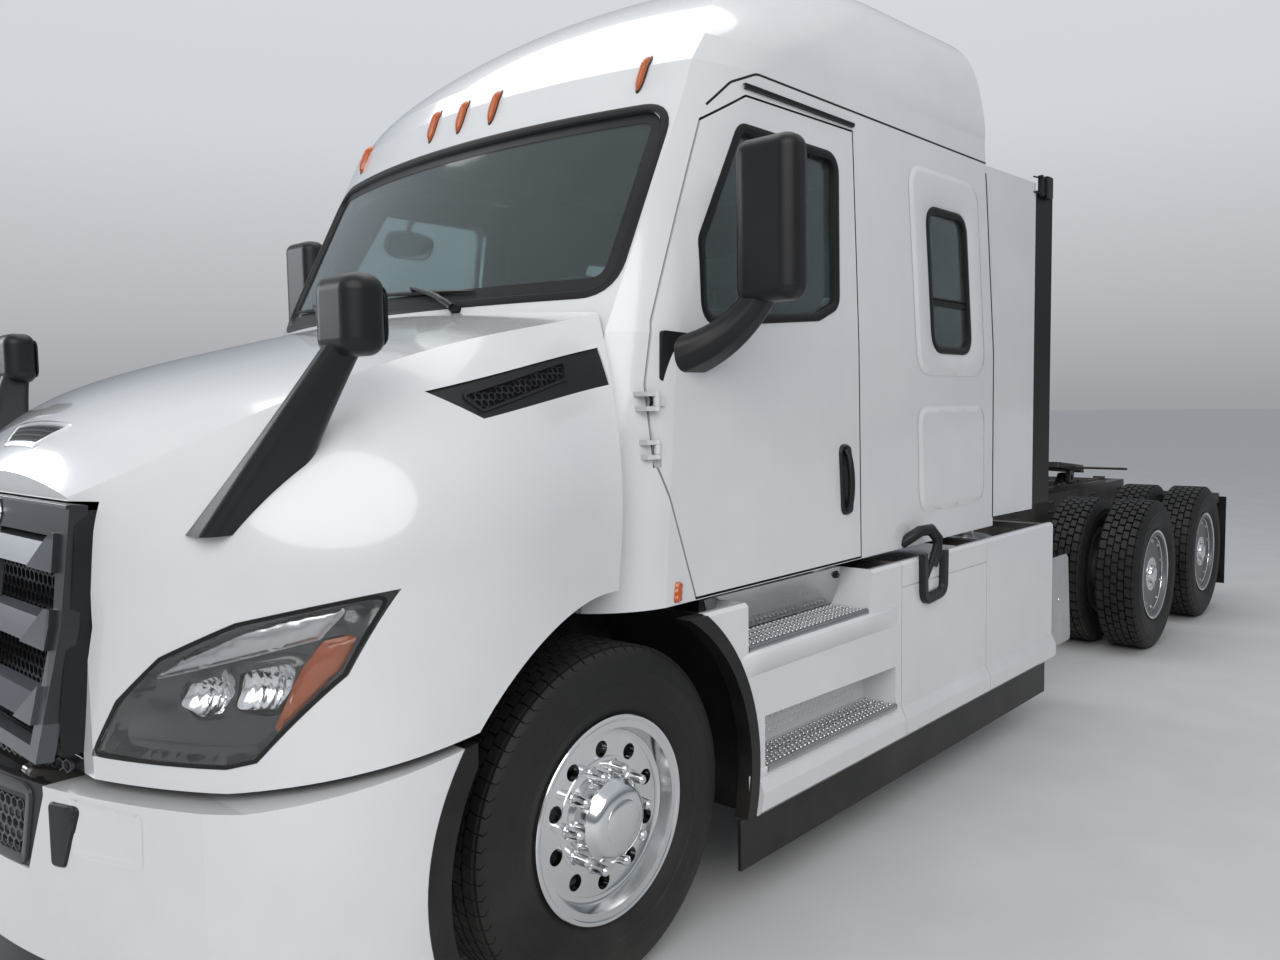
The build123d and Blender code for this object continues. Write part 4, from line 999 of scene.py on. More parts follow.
lookDown = MeshParts().strips([mirrorRing(*ring) for ring in (
    (0.9, 0.02), (0.96, 0.024), (1, 0.02), (1, 0), (0.92, -0.03), (0.7, -0.052), (0.35, -0.064), (0.02, -0.067))])
lookDown.tube([at(x, 1.04, z) for x, z in ((-1.215, 2.53), (-1.185, 2.6), (-1.12, 2.64), (-1.05, 2.655))],
              [0.012, 0.013, 0.014, 0.016], 10)
lookDown.piece("lookDownMirror", "black_plastic", 40, "door_right")
lookGlass = MeshParts().strips([mirrorRing(*ring) for ring in (
    (0.93, 0.0195), (0.6, 0.024), (0.3, 0.0265), (0.02, 0.027))])
lookGlass.piece("lookDownGlass", "bright_metal", 60, "door_right")


# Wipers
def onGlass(x, z, lift):
    hit, normal = glassFront((x, z))
    return hit + normal * lift


wipers = {"wiper_left": (0.41, 0.15), "wiper_right": (-0.38, -0.58)}  # x of the pivot and of the arm's tip
pivotZ, armLift = 1.998, 0.026
for name, (pivotX, tipX) in wipers.items():
    wiper = MeshParts().tube([onGlass(pivotX, pivotZ, -0.004), onGlass(pivotX, pivotZ, armLift)], [0.02, 0.015], 16)
    arm = [onGlass(pivotX + (tipX - pivotX) * t, pivotZ + 0.086 * t ** 0.8, armLift + 0.01 * math.sin(math.pi * t))
           for t in (step / 12 for step in range(13))]
    wiper.tube(arm, [0.012 - 0.006 * step / 12 for step in range(13)], 8)
    wiper.tube([onGlass(tipX - 0.3 + 0.6 * t, 2.09 - 0.032 * t, 0.011) for t in (step / 20 for step in range(21))],
               [0.0035 + 0.0045 * math.sin(math.pi * step / 20) for step in range(21)], 6)
    wiper.tube([arm[-1], onGlass(tipX, 2.075, 0.01)], 0.007, 8)
    wiper.piece(name, "black_plastic", 40)


# Mirror glass and its heater rim on each head: x, y, low and high edge, width
mirrors = {"mirrorUpper_": (1.335, 0.6026, 2.165, 2.44, 0.16), "mirrorLower_": (1.335, 0.6026, 2.02, 2.145, 0.16),
           "hoodMirror_": (1.117, -0.7224, 1.825, 1.945, 0.11)}
for hand, side in bothSides:
    for name, (x, y, low, high, width) in mirrors.items():
        body = "hood" if name == "hoodMirror_" else "door_" + hand
        left, right = x - width / 2, x + width / 2
        face = roundOutline(((left, low), (left, high), (right, high), (right, low)), 0.025, 0.05)
        glassParts, rim = [MeshParts().strips([[at(side * spot.x, y + off, spot.y) for spot in growOutline(face, grow)]
                                               for grow, off in rings])
                           for rings in (((0, 0.0006), (-0.003, 0.0022), (-0.012, 0.0024)),
                                         ((0.009, -0.001), (0.008, 0.0035), (0.002, 0.004), (0, 0)))]
        count = len(glassParts.verts)
        glassParts.faces.append(tuple(range(count - len(face), count)))
        glassParts.piece(name + hand + "_glass", "bright_metal", 30, body)
        rim.piece(name + hand + "_rim", "black_plastic", 30, body)
print("stage: front")


# Bumper corners: painted filler over the tow pocket and the slim cover ahead of it

bumperFind = castFront("bumper", "bumper_grille")
towFiller = {"skinLift": 0.0007, "pocketLift": 0.0067, "step": 0.025}
towCover = {"rise": 0.005, "edge": 0.005, "step": 0.02}
for hand, side in bothSides:
    pocket = mirrored(((0.53, 0.768), (0.735, 0.758), (0.735, 0.64), (0.545, 0.64)), side)
    def fillHeight(point):
        return towFiller["pocketLift" if insidePath(point, pocket) else "skinLift"]
    fillEdge = roundOutline(mirrored(((0.517, 0.7735), (0.75, 0.7635), (0.747, 0.63), (0.532, 0.63)), side), 0.02, 0.02)
    layPatch(MeshParts(), bumperFind, fillEdge, fillHeight, towFiller["step"],
             insetSpots(roundOutline(pocket, 0.002, 0.02), -0.0006, 0.0006)
             ).piece("towFiller_" + hand, "white_paint", 60)
    coverEdge = roundOutline(mirrored(((0.452, 0.752), (0.566, 0.756), (0.505, 0.596), (0.452, 0.59)), side),
                             0.018, 0.015)
    layPatch(MeshParts(), bumperFind, coverEdge,
             lambda point: fillHeight(point) + towCover["rise"] * easeStep(
                 edgeDistance(point, coverEdge), 0, towCover["edge"]), towCover["step"],
             insetSpots(coverEdge, 0.002, 0.005)).piece("towCover_" + hand, "black_plastic", 40)


# Steps: punched grip treads, nosings, kick plate and moulded ledges

def sided(side, *points):
    return [at(side * x, y, z) for x, y, z in points]


# Raised open buttons in rows, with long slots along the middle row where asked
def gripTread(parts, side, y0, y1, x0, x1, z, rows, slots=False, pitch=0.026):
    count = int((y1 - y0) / pitch)
    for row in range(rows):
        x = x0 + (row + 0.5) * (x1 - x0) / rows
        radius, long = 0.0085 if row % 2 else 0.006, 0
        spots = [y0 + (step + 0.5 + 0.5 * (row % 2)) * pitch for step in range(count)]
        if slots and row == rows // 2:
            long = 0.014
            spots = [y0 + (2 * step + 1) * pitch for step in range(count // 2)]
        for y in spots:
            if y <= y1 - pitch * 0.4:
                parts.strips([[at(side * (x + radius * share * c),
                                  y + radius * share * s + (long if s > 0 else -long), z + rise)
                               for c, s in circle(10)]
                              for share, rise in ((1.35, 0), (1, 0.0036), (0.72, 0.004), (0.62, 0.0006))])


# Folded front edge with saw teeth along its top
def nosing(parts, side, y0, y1, x, z, toothWidth=0.018):
    teeth = int((y1 - y0) / toothWidth)
    width = (y1 - y0) / teeth
    for step in range(teeth):
        parts.strips([[at(side * (x + u), y0 + (step + share) * width, z + v)
                       for u, v in ((-0.009, 0), (-0.006, rise), (-0.001, rise), (0, -0.001))]
                      for share, rise in ((0, 0), (0.25, 0.0045), (0.75, 0.0045), (1, 0))], closedRing=False)
    parts.strips([[at(side * (x + u), y, z + v) for u, v in (
        (-0.004, 0.0006), (-0.001, 0.0002), (0.0015, -0.003), (0.0015, -0.02), (-0.004, -0.021))]
                  for y in (y0 - 0.001, y0 + 0.01, y1 - 0.01, y1 + 0.001)], closedRing=False)


stepBumps = {"rows": 3, "columns": 22, "pitch": 0.034, "rise": 0.024}
kickPlate = {"low": (1.03, 0.893), "high": (1.083, 1.046)}
for hand, side in bothSides:
    treads = MeshParts()
    gripTread(treads, side, 0.615, 1.375, 1.04, 1.19, 0.8901, 7)
    gripTread(treads, side, 0.705, 1.59, 1.07, 1.196, 0.4701, 7, slots=True)
    nosing(treads, side, 0.604, 1.378, 1.2005, 0.8902)
    nosing(treads, side, 0.694, 1.596, 1.2085, 0.4702)
    treads.piece("stepGrip_" + hand, "tank_metal", 40)

    def kickPoint(y, t, outX, outZ):
        x, z = [low + (high - low) * t for low, high in zip(kickPlate["low"], kickPlate["high"])]
        return at(side * (x + outX), y, z - outZ)

    kick = MeshParts().strips([[kickPoint(y - 0.105 * t * lean, t, off * 0.94, off * 0.33) for t, off in (
        (0, 0), (0, 0.003), (0.03, 0.004), (0.97, 0.004), (1, 0.003), (1, 0))]
                               for y, lean in ((0.618, 1), (0.622, 1), (1.396, 0.35), (1.4, 0.35))], caps=True)
    kick.piece("kickPlate_" + hand, "tank_metal", 30)
    bolts = MeshParts()
    for y, t in ((0.6, 0.62), (1.345, 0.8)):
        bolts.tube([kickPoint(y, t, 0.004, 0) + Vector((side * 0.94, 0, -0.33)) * out
                    for out in (0, 0.004, 0.006, 0.014)], [0.016, 0.016, 0.011, 0.01], 12)
    bolts.piece("kickBolts_" + hand, "black_plastic", 35)
    ledge = MeshParts()
    for y0, x, z, drop, out in ((0.56, 1.2, 0.87, 0.085, 0.02), (0.6, 1.2, 0.468, 0.05, 0.006)):
        rings = []
        for t in (step / 24 for step in range(25)):
            swell = min(1, t / 0.06) ** 0.5 * min(1, (1 - t) / 0.28) ** 0.8
            rings.append([at(side * (x - 0.002 + (out + 0.002) * bulge * swell), y0 + (1.64 - y0) * t,
                             z - drop * fall - 0.012 * (1 - swell)) for bulge, fall in (
                (0, -0.04), (0.55, 0), (0.95, 0.1), (1, 0.3), (0.8, 0.55), (0.35, 0.85), (0, 1))])
        ledge.strips(rings, closedRing=False)
    ledge.piece("stepLedge_" + hand, "white_paint", 60)
    bumps = MeshParts()
    for row in range(stepBumps["rows"]):
        for step in range(stepBumps["columns"]):
            y, z = 0.8 + step * stepBumps["pitch"] + 0.017 * (row % 2), 0.5 + row * stepBumps["rise"]
            bumps.strips([[at(side * (1.05 + rise), y + 0.01 * share * c, z + 0.006 * share * s) for c, s in circle(8)]
                          for share, rise in ((1, 0), (0.85, 0.002), (0.5, 0.0034), (0.05, 0.0038))])
    bumps.piece("stepBumps_" + hand, "white_paint", 60)

    # Fairing pull: a U of black plastic hung on a hook from the sill
    rings = []
    for before, spot, after in neighbours(roundOutline(
            ((1.815, 1.05), (1.82, 0.852), (2.005, 0.866), (2.01, 1.045)), 0.05, 0.02, closed=False), False):
        along = (after - before).normalized()
        rings.append([at(side * (1.2 + off), spot.x + along.y * wide, spot.y - along.x * wide) for wide, off in (
            (-0.024, 0), (-0.026, 0.012), (-0.018, 0.024), (0.012, 0.026), (0.02, 0.018), (0.02, 0))])
    pull = MeshParts().strips(rings, caps=True)
    pull.tube(sided(side, (1.12, 1.8, 1.084), (1.15, 1.815, 1.112), (1.168, 1.87, 1.136), (1.186, 1.93, 1.138),
                    (1.206, 1.955, 1.1), (1.212, 1.945, 1.04), (1.21, 1.92, 0.985)),
              [0.02, 0.024, 0.024, 0.026, 0.024, 0.018, 0.012], 10)
    pull.tube(sided(side, (1.206, 1.955, 1.09), (1.212, 1.88, 1), (1.206, 1.83, 0.93)), 0.014, 10)
    pull.piece("fairingPull_" + hand, "black_plastic", 40)

    # Amber marker behind the arch
    markEdge = roundOutline(((0.285, 1.078), (0.3, 1.14), (0.33, 1.138), (0.318, 1.076)), 0.008, 0.01)
    raisedPatch(castSide(side, "cab_shell", "side_fairings"), markEdge, 0.0008, 0.011, 0.007, 0.01, 0.003, 0.006
                ).piece("sideMarker_" + hand, "amber_lens", 50)

    # Mud plate and small tread behind the fairing
    quarter = MeshParts().strips([sided(side, *[(x, y, z) for y, z in (
        (3.321, 0.36), (3.321, 0.84), (3.56, 0.84), (3.59, 0.82), (3.64, 0.38), (3.63, 0.36))])
                                  for x in (1.184, 1.188)], caps=True)
    quarter.box((0.984, 1.184), (3.335, 3.63), (0.352, 0.362), 0.002, side)
    gripTread(quarter, side, 3.345, 3.62, 1, 1.175, 0.3622, 6)
    quarter.tube(sided(side, (1.15, 3.322, 0.6), (1.15, 3.44, 0.6), (1.186, 3.46, 0.6)), 0.012, 8)
    quarter.piece("mudPlate_" + hand, "tank_metal", 30)

    # Bracket of the work lamp on the extender
    bracket = MeshParts().box((1.082, 1.11), (3.36, 3.372), (2.735, 2.845), 0.003, side)
    bracket.box((1.08, 1.112), (3.43, 3.505), (2.735, 2.85), 0.005, side)
    for z in (2.752, 2.83):
        bracket.tube(sided(side, (1.084, 3.3, z), (1.096, 3.366, z), (1.096, 3.435, z)), 0.0045, 8)
    bracket.piece("extenderBracket_" + hand, "black_plastic", 30)
print("stage: sides")


# Rear: cab back wall, deck, frame bolts, coupling, axles, tanks and tail

# Washer and six-sided head with a domed end
def boltHead(parts, centre, axis, size):
    parts.spin(((0, size * 1.55), (size * 0.22, size * 1.5), (size * 0.24, size * 1.02)), centre, axis, 14)
    parts.spin(((size * 0.2, size), (size * 0.85, size), (size * 1.02, size * 0.8), (size * 1.05, 0)), centre, axis, 6)


# A U-bolt over a beam that runs along Y
def uBolt(parts, side, y, x0, x1, low, high, bend):
    shoulder = high - 0.014
    parts.tube(sided(side, (x0, y, low), (x0, y, shoulder), (x0 + bend, y, high), (x1 - bend, y, high),
                     (x1, y, shoulder), (x1, y, low)), 0.009, 8)


# A pressed rib whose ends run out softly
def pressedRib(parts, find, path, width, height):
    hits = drape(find, path)
    rings = []
    for index, ((before, _), (hit, normal), (after, _)) in enumerate(neighbours(hits, False)):
        side = (after - before).normalized().cross(normal).normalized()
        swell = easeStep(min(index, len(hits) - 1 - index), -0.2, 2.2)
        rings.append([hit + side * width * share * (0.6 + 0.4 * swell) + normal * (0.0006 + height * swell * rise)
                      for share, rise in ((1, 0), (0.86, 0.12), (0.66, 0.86), (0.5, 1), (-0.5, 1), (-0.66, 0.86),
                                          (-0.86, 0.12), (-1, 0))])
    parts.strips(rings, closedRing=False)


backFind = castBack("cab_shell", "roof_cap")
wallRibs = {"count": 7, "firstX": -0.72, "spacing": 0.24, "width": 0.062, "height": 0.011}
wall = MeshParts()
for column in range(wallRibs["count"]):
    path = straight(wallRibs["firstX"] + wallRibs["spacing"] * column, 1.3, 0, 0.0475, 28)
    pressedRib(wall, backFind, path, wallRibs["width"], wallRibs["height"])
wall.piece("wallRibs", "white_paint", 50)
wallSeams = MeshParts()
seamProfile = ridge(0.005, 0.0005, 0.004, 0.0022)
openBand(wallSeams, backFind, straight(-1, 2.8105, 0.05, 0, 41), seamProfile)
openBand(wallSeams, backFind, straight(-0.96, 1.18, 0.048, 0, 41), seamProfile)
for side in (1, -1):
    openBand(wallSeams, backFind, straight(side * 0.965, 1.18, 0, 0.054, 31), seamProfile)
    for z in (1.36, 1.96, 2.56):
        start, normal = backFind((side * 0.93, z))
        wallSeams.tube([start, start + normal * 0.03, *sided(side, (1.012, 3.14, z), (1.02, 3.2, z))], 0.011, 10)
        wallSeams.spin(((0, 0.03), (0.004, 0.03), (0.005, 0.012)), start, normal, 16)
        wallSeams.box((1.018, 1.03), (3.15, 3.25), (z - 0.03, z + 0.03), 0.002, side)
wallSeams.piece("wallSeams", "black_plastic", 40)
rivets = MeshParts()
for spot in [*straight(0.988, 1.23, 0, 0.066, 24), *straight(-0.988, 1.23, 0, 0.066, 24),
             *straight(-0.9375, 1.155, 0.075, 0, 26)]:
    rivets.spin(((0, 0.008), (0.0018, 0.0072), (0.003, 0.004), (0.0033, 0)), *backFind(spot), 10)
rivets.piece("wallRivets", "white_paint", 40)

# Deck: raised lozenges on the plates over the frame
deckTread = {"rows": 33, "columns": 28, "stepX": 0.03, "stepY": 0.0295, "turn": 0.7, "height": 0.0018}
deck = MeshParts()
for row in range(deckTread["rows"]):
    for column in range(deckTread["columns"]):
        lean = deckTread["turn"] if (row + column) % 2 else -deckTread["turn"]
        along, across = Vector((math.cos(lean), math.sin(lean), 0)), Vector((-math.sin(lean), math.cos(lean), 0))
        base = at(-0.405 + deckTread["stepX"] * column, 3.425 + deckTread["stepY"] * row, 0.9981)
        low = [base + along * a + across * b for a, b in (
            (0.0135, 0), (0.004, 0.0042), (-0.004, 0.0042), (-0.0135, 0), (-0.004, -0.0042), (0.004, -0.0042))]
        deck.strips([low, [base + (spot - base) * 0.55 + Vector((0, 0, deckTread["height"])) for spot in low]])
        deck.faces.append(tuple(range(len(deck.verts) - 6, len(deck.verts))))
deck.piece("deckTread", "tank_metal", 50)

# Frame: hub bolts in the webs at each cross member and hanger
boltValues = {"webFace": 0.4302, "endFace": 7.1622, "size": 0.0105}
frameBolts = MeshParts()
for side in (1, -1):
    for y in (2.6, 3.2, 3.62, 4.1, 4.78, 5.45, 5.908, 6.35, 7.04):
        for shift in (-0.03, 0.03):
            for z in (0.79, 0.857, 0.925):
                boltHead(frameBolts, at(side * boltValues["webFace"], y + shift, z), (side, 0, 0), boltValues["size"])
for z in (0.765, 0.95):
    for x in (-0.35, -0.25, 0.25, 0.35):
        boltHead(frameBolts, at(x, boltValues["endFace"], z), (0, 1, 0), boltValues["size"])
frameBolts.piece("frameBolts", "cast_metal", 30)

# Coupling: toothed slide rack, cross bolts, throat ring
slideRack = {"toothPitch": 0.03, "tooth": 0.015, "low": 1.02, "high": 1.031}
rack = MeshParts()
for side in (1, -1):
    for y0, y1 in ((5.15, 5.64), (6.176, 6.668)):
        rack.box((0.366, 0.394), (y0, y1), (1.016, 1.021), 0.001, side)
        for step in range(int((y1 - y0) / slideRack["toothPitch"])):
            y = y0 + 0.008 + slideRack["toothPitch"] * step
            rack.box((0.367, 0.393), (y, y + slideRack["tooth"]), (slideRack["low"], slideRack["high"]), 0.002, side)
    for y in (5.7, 5.8, 6.02, 6.12):
        boltHead(rack, at(side * 0.4, y, 1.0362), (0, 0, 1), 0.012)
    for y in (5.145, 6.672):
        rack.box((0.335, 0.425), (y - 0.012, y + 0.012), (1.016, 1.044), 0.003, side)
rack.piece("slideRack", "cast_metal", 30)
plateFind = castTop("fifth_wheel_plate")
lips = MeshParts()
for side in (1, -1):
    for x, y in ((0.41, 5.7), (0.41, 5.93), (0.21, 5.62), (0.25, 6.16)):
        lips.spin(((-0.002, 0.016), (0.0012, 0.0155), (0.0014, 0.012), (-0.001, 0.011), (-0.001, 0)),
                  *plateFind((side * x, y)), 20)
    openBand(lips, plateFind, straight(side * 0.052, 6.085, side * 0.0148, 0.04, 11), ridge(0.005, 0, 0.003, 0.0022))
lips.piece("plateBolts", "coupling_metal", 40, "fifth_wheel")

# Drive axles: cover bolts, brake chambers, shields and drums, air bag lobes
coverProfile = ((0.128, 0.168), (0.134, 0.17), (0.144, 0.166), (0.148, 0.15), (0.165, 0.138), (0.198, 0.09),
                (0.208, 0.03), (0.209, 0))
chamberProfile = ((0, 0.02), (0.002, 0.06), (0.016, 0.068), (0.07, 0.074), (0.078, 0.082), (0.088, 0.082),
                  (0.096, 0.074), (0.15, 0.072), (0.158, 0.08), (0.168, 0.08), (0.176, 0.07), (0.225, 0.062),
                  (0.238, 0.04), (0.24, 0))
bagProfile = ((0.43, 0.1), (0.431, 0.12), (0.446, 0.128), (0.47, 0.13), (0.486, 0.141), (0.5, 0.1465), (0.52, 0.148),
              (0.6, 0.148), (0.63, 0.147), (0.652, 0.14), (0.664, 0.122), (0.668, 0.098))
drumProfile = ((0, 0.196), (0, 0.21), (0.012, 0.214), (0.02, 0.214), (0.024, 0.209), (0.05, 0.209), (0.054, 0.214),
               (0.062, 0.214), (0.066, 0.209), (0.13, 0.207), (0.17, 0.2), (0.176, 0.18), (0.176, 0.12))
axle, bags = MeshParts(), MeshParts()
for number, rowY in driveAxles:
    for c, s in circle(14):
        boltHead(axle, at(0.148 * c, rowY + 0.137, axleHeight + 0.148 * s), (0, 1, 0), 0.009)
    axle.spin(coverProfile, at(0, rowY, axleHeight), (0, 1, 0), 40)
    for side in (1, -1):
        axle.spin(chamberProfile, at(side * 0.255, rowY - 0.105, 0.64), (0, -1, 0), 28)
        axle.tube(sided(side, (0.255, rowY - 0.11, 0.64), (0.255, rowY - 0.02, 0.625)), 0.01, 8)
        axle.box((0.243, 0.267), (rowY - 0.035, rowY + 0.005), (0.56, 0.65), 0.004, side)
        axle.tube(sided(side, (0.2, rowY - 0.015, 0.58), (0.555, rowY - 0.015, 0.58)), 0.014, 10)
        axle.spin(((0, 0.118), (0.003, 0.2), (0.01, 0.205), (0.011, 0.198), (0.008, 0.12)),
                  at(side * 0.577, rowY, axleHeight), (side, 0, 0), 56)
        for y in (rowY - 0.055, rowY + 0.055):
            uBolt(axle, side, y, 0.377, 0.473, 0.42, 0.634, 0.011)
        bags.spin(bagProfile, at(side * 0.425, rowY + 0.3, 0), (0, 0, 1), 44)
axle.piece("axleDetail", "cast_metal", 30)
bags.piece("airBagLobes", "black_rubber", 40)
for hand, side in bothSides:
    for number, rowY in driveAxles:
        drum = MeshParts().spin(drumProfile, at(side * 0.597, rowY, axleHeight), (side, 0, 0), 56)
        drum.piece(f"brakeDrum_{number}_{hand}", "cast_metal", 30, f"drive_wheel_{number}_{hand}")

# Tanks: dished heads, cap and strap bolts
headProfile = ((-0.012, 0.3012), (-0.004, 0.3022), (0.002, 0.301), (0.008, 0.294), (0.02, 0.27), (0.032, 0.22),
               (0.042, 0.14), (0.047, 0.05), (0.048, 0))
capProfile = ((-0.012, 0.062), (0.004, 0.06), (0.008, 0.052), (0.01, 0.052), (0.012, 0.057), (0.038, 0.056),
              (0.043, 0.05), (0.044, 0))
tankHeads = {"x": 0.81, "z": 0.665, "front": 1.7895, "back": 3.2405, "cap": (3.09, 0.9655)}
tanks = MeshParts()
for side in (1, -1):
    tankX = side * tankHeads["x"]
    tanks.spin(headProfile, at(tankX, tankHeads["back"], tankHeads["z"]), (0, 1, 0), 72)
    tanks.spin(headProfile, at(tankX, tankHeads["front"], tankHeads["z"]), (0, -1, 0), 72)
    tanks.spin(capProfile, at(tankX, *tankHeads["cap"]), (0, 0, 1), 40)
    for y in (1.978, 2.022, 2.938, 2.982):
        boltHead(tanks, at(side * 0.5602, y, 0.87), (side, 0, 0), 0.01)
tanks.piece("tankHeads", "tank_metal", 30)

# Tail: flap clamps and ribs, lamp grommets and lenses, blank plate
flapFace, clampFace, lampFace, plateFace = 7.2198, 7.2262, 7.2102, 7.2132
flapRibs = {"count": 23, "inset": 0.012, "halfWidth": 0.005, "height": 0.0022}
for hand, side in bothSides:
    x0, x1 = sorted((side * 0.622, side * 1.198))
    flap = MeshParts()
    for step in range(flapRibs["count"]):
        x = x0 + flapRibs["inset"] + (x1 - x0 - 2 * flapRibs["inset"]) * step / (flapRibs["count"] - 1)
        flap.strips([[at(x + u, flapFace + v, z) for u, v in ridge(
            -flapRibs["halfWidth"], 0, -0.003, flapRibs["height"])]
                     for z in (0.2, 0.206, 0.8, 0.806)], closedRing=False)
    flap.piece("flapRibs_" + hand, "black_rubber", 40)
    clamp = MeshParts().box((x0, x1), (7.2202, clampFace), (0.832, 0.868), 0.001)
    clamp.box((x0 + 0.004, x1 - 0.004), (7.2202, 7.2242), (0.163, 0.186), 0.001)
    for step in range(5):
        boltHead(clamp, at(x0 + 0.05 + (x1 - x0 - 0.1) * step / 4, clampFace, 0.85), (0, 1, 0), 0.008)
    clamp.piece("flapClamp_" + hand, "tank_metal", 30)
    for name, profile, material, crease in (
            ("lampGrommet_", ((0, 0.068), (0.008, 0.068), (0.013, 0.064), (0.015, 0.058), (0.013, 0.0535), (0, 0.0535)),
             "black_rubber", 40),
            ("lampLens_", [(0.03 + 0.0012 * (step % 2), 0.0505 - 0.0042 * step) for step in range(12)] + [(0.0306, 0)],
             "red_lens", 20)):
        lamp = MeshParts().spin(profile, at(side * 0.56, lampFace, 0.86), (0, 1, 0), 44)
        lamp.piece(name + hand, material, crease)


# Four-cornered frame of stacked rings; each ring has a scale and a distance out
def facePlate(parts, x, y, z, corners, rings, caps=False):
    return parts.strips([[at(x + u * scale, y + out, z + w * scale) for u, w in corners] for scale, out in rings],
                        caps=caps)


def rectangle(halfWide, halfTall):
    return (-halfWide, -halfTall), (halfWide, -halfTall), (halfWide, halfTall), (-halfWide, halfTall)


plate = MeshParts().box((-0.154, 0.154), (7.2104, plateFace), (0.776, 0.934), 0.001)
for x in (-0.1, 0.1):
    plate.box((x - 0.012, x + 0.012), (7.162, 7.2104), (0.78, 0.786), 0.001)
facePlate(plate, 0, plateFace, 0.855, rectangle(0.15, 0.075),
          ((1, 0), (0.995, 0.0012), (0.97, 0.0012), (0.965, 0.0002)))
plate.piece("tailPlate", "white_paint", 30)

# Front springs: U-bolts and clamps
springs = MeshParts()
for side in (1, -1):
    for y in (-0.07, 0.07):
        uBolt(springs, side, y, 0.376, 0.494, 0.385, 0.74, 0.012)
    for y in (-0.4, 0.4):
        springs.tube(sided(side, (0.38, y, 0.56), (0.38, y, 0.69), (0.49, y, 0.69), (0.49, y, 0.56)), 0.006, 6)
springs.piece("springBolts", "cast_metal", 30)
print("stage: rear")


# Cabin: padded seats and bunk, seat frames, dash details

pads = []


def bakeMesh(made):
    graph = bpy.context.evaluated_depsgraph_get()
    graph.update()
    baked = bpy.data.meshes.new_from_object(made.evaluated_get(graph))
    made.modifiers.clear()
    made.data = baked


# A rounded block turned into an even grid, ready to swell; seams and cross lines are pressed in later
def padShape(name, low, high, roundness, voxel, seam, cross, depth, width, form=None):
    work = bmesh.new()
    bmesh.ops.create_cube(work, size=1)
    for vert in work.verts:
        vert.co = Vector([(low[i] + high[i]) / 2 + vert.co[i] * (high[i] - low[i]) for i in range(3)])
    bmesh.ops.bevel(work, geom=work.edges[:], offset=roundness, segments=4, profile=0.6, affect="EDGES")
    mesh = bpy.data.meshes.new(name)
    work.to_mesh(mesh)
    work.free()
    made = linked(name, mesh)
    grid = made.modifiers.new("grid", "REMESH")
    grid.mode = "VOXEL"
    grid.voxel_size = voxel
    bakeMesh(made)
    for vert in made.data.vertices if form else ():
        vert.co = form(vert.co.copy())
    middle = (low.x + high.x) / 2
    lines = [(0, middle - seam), (0, middle + seam), *cross] if seam else cross
    pads.append((made, [vert.co.copy() for vert in made.data.vertices], low.z, lines, depth, width))


# Runs the padding once for all pads, then caps how far each point moved
def swellPads(pressure, cap, frames, stiffness):
    for made, *rest in pads:
        cloth = made.modifiers.new("padding", "CLOTH")
        cloth.settings.use_pressure = True
        cloth.settings.uniform_pressure_force = pressure
        cloth.settings.effector_weights.gravity = 0
        cloth.settings.quality = 4
        cloth.settings.tension_stiffness = cloth.settings.compression_stiffness = stiffness
        cloth.collision_settings.use_collision = False
        cloth.point_cache.frame_start, cloth.point_cache.frame_end = 1, frames
    for number in range(1, frames + 1):
        scene.frame_set(number)
    for made, start, bottom, *rest in pads:
        bakeMesh(made)
        for vert, home in zip(made.data.vertices, start):
            move = vert.co - home
            if move.length > cap:
                vert.co = home + move * cap / move.length
            vert.co.z = max(vert.co.z, bottom - 0.002)
    scene.frame_set(1)


# Presses seams into a pad; each line gives an axis and its place
def sewChannels(made, lines, depth, width):
    made.data.update()
    moves = []
    for vert in made.data.vertices:
        dip = max(depth * math.exp(-(abs(vert.co[axis] - place) / width) ** 2) for axis, place in lines)
        moves.append(vert.normal * dip)
    for vert, move in zip(made.data.vertices, moves):
        vert.co -= move


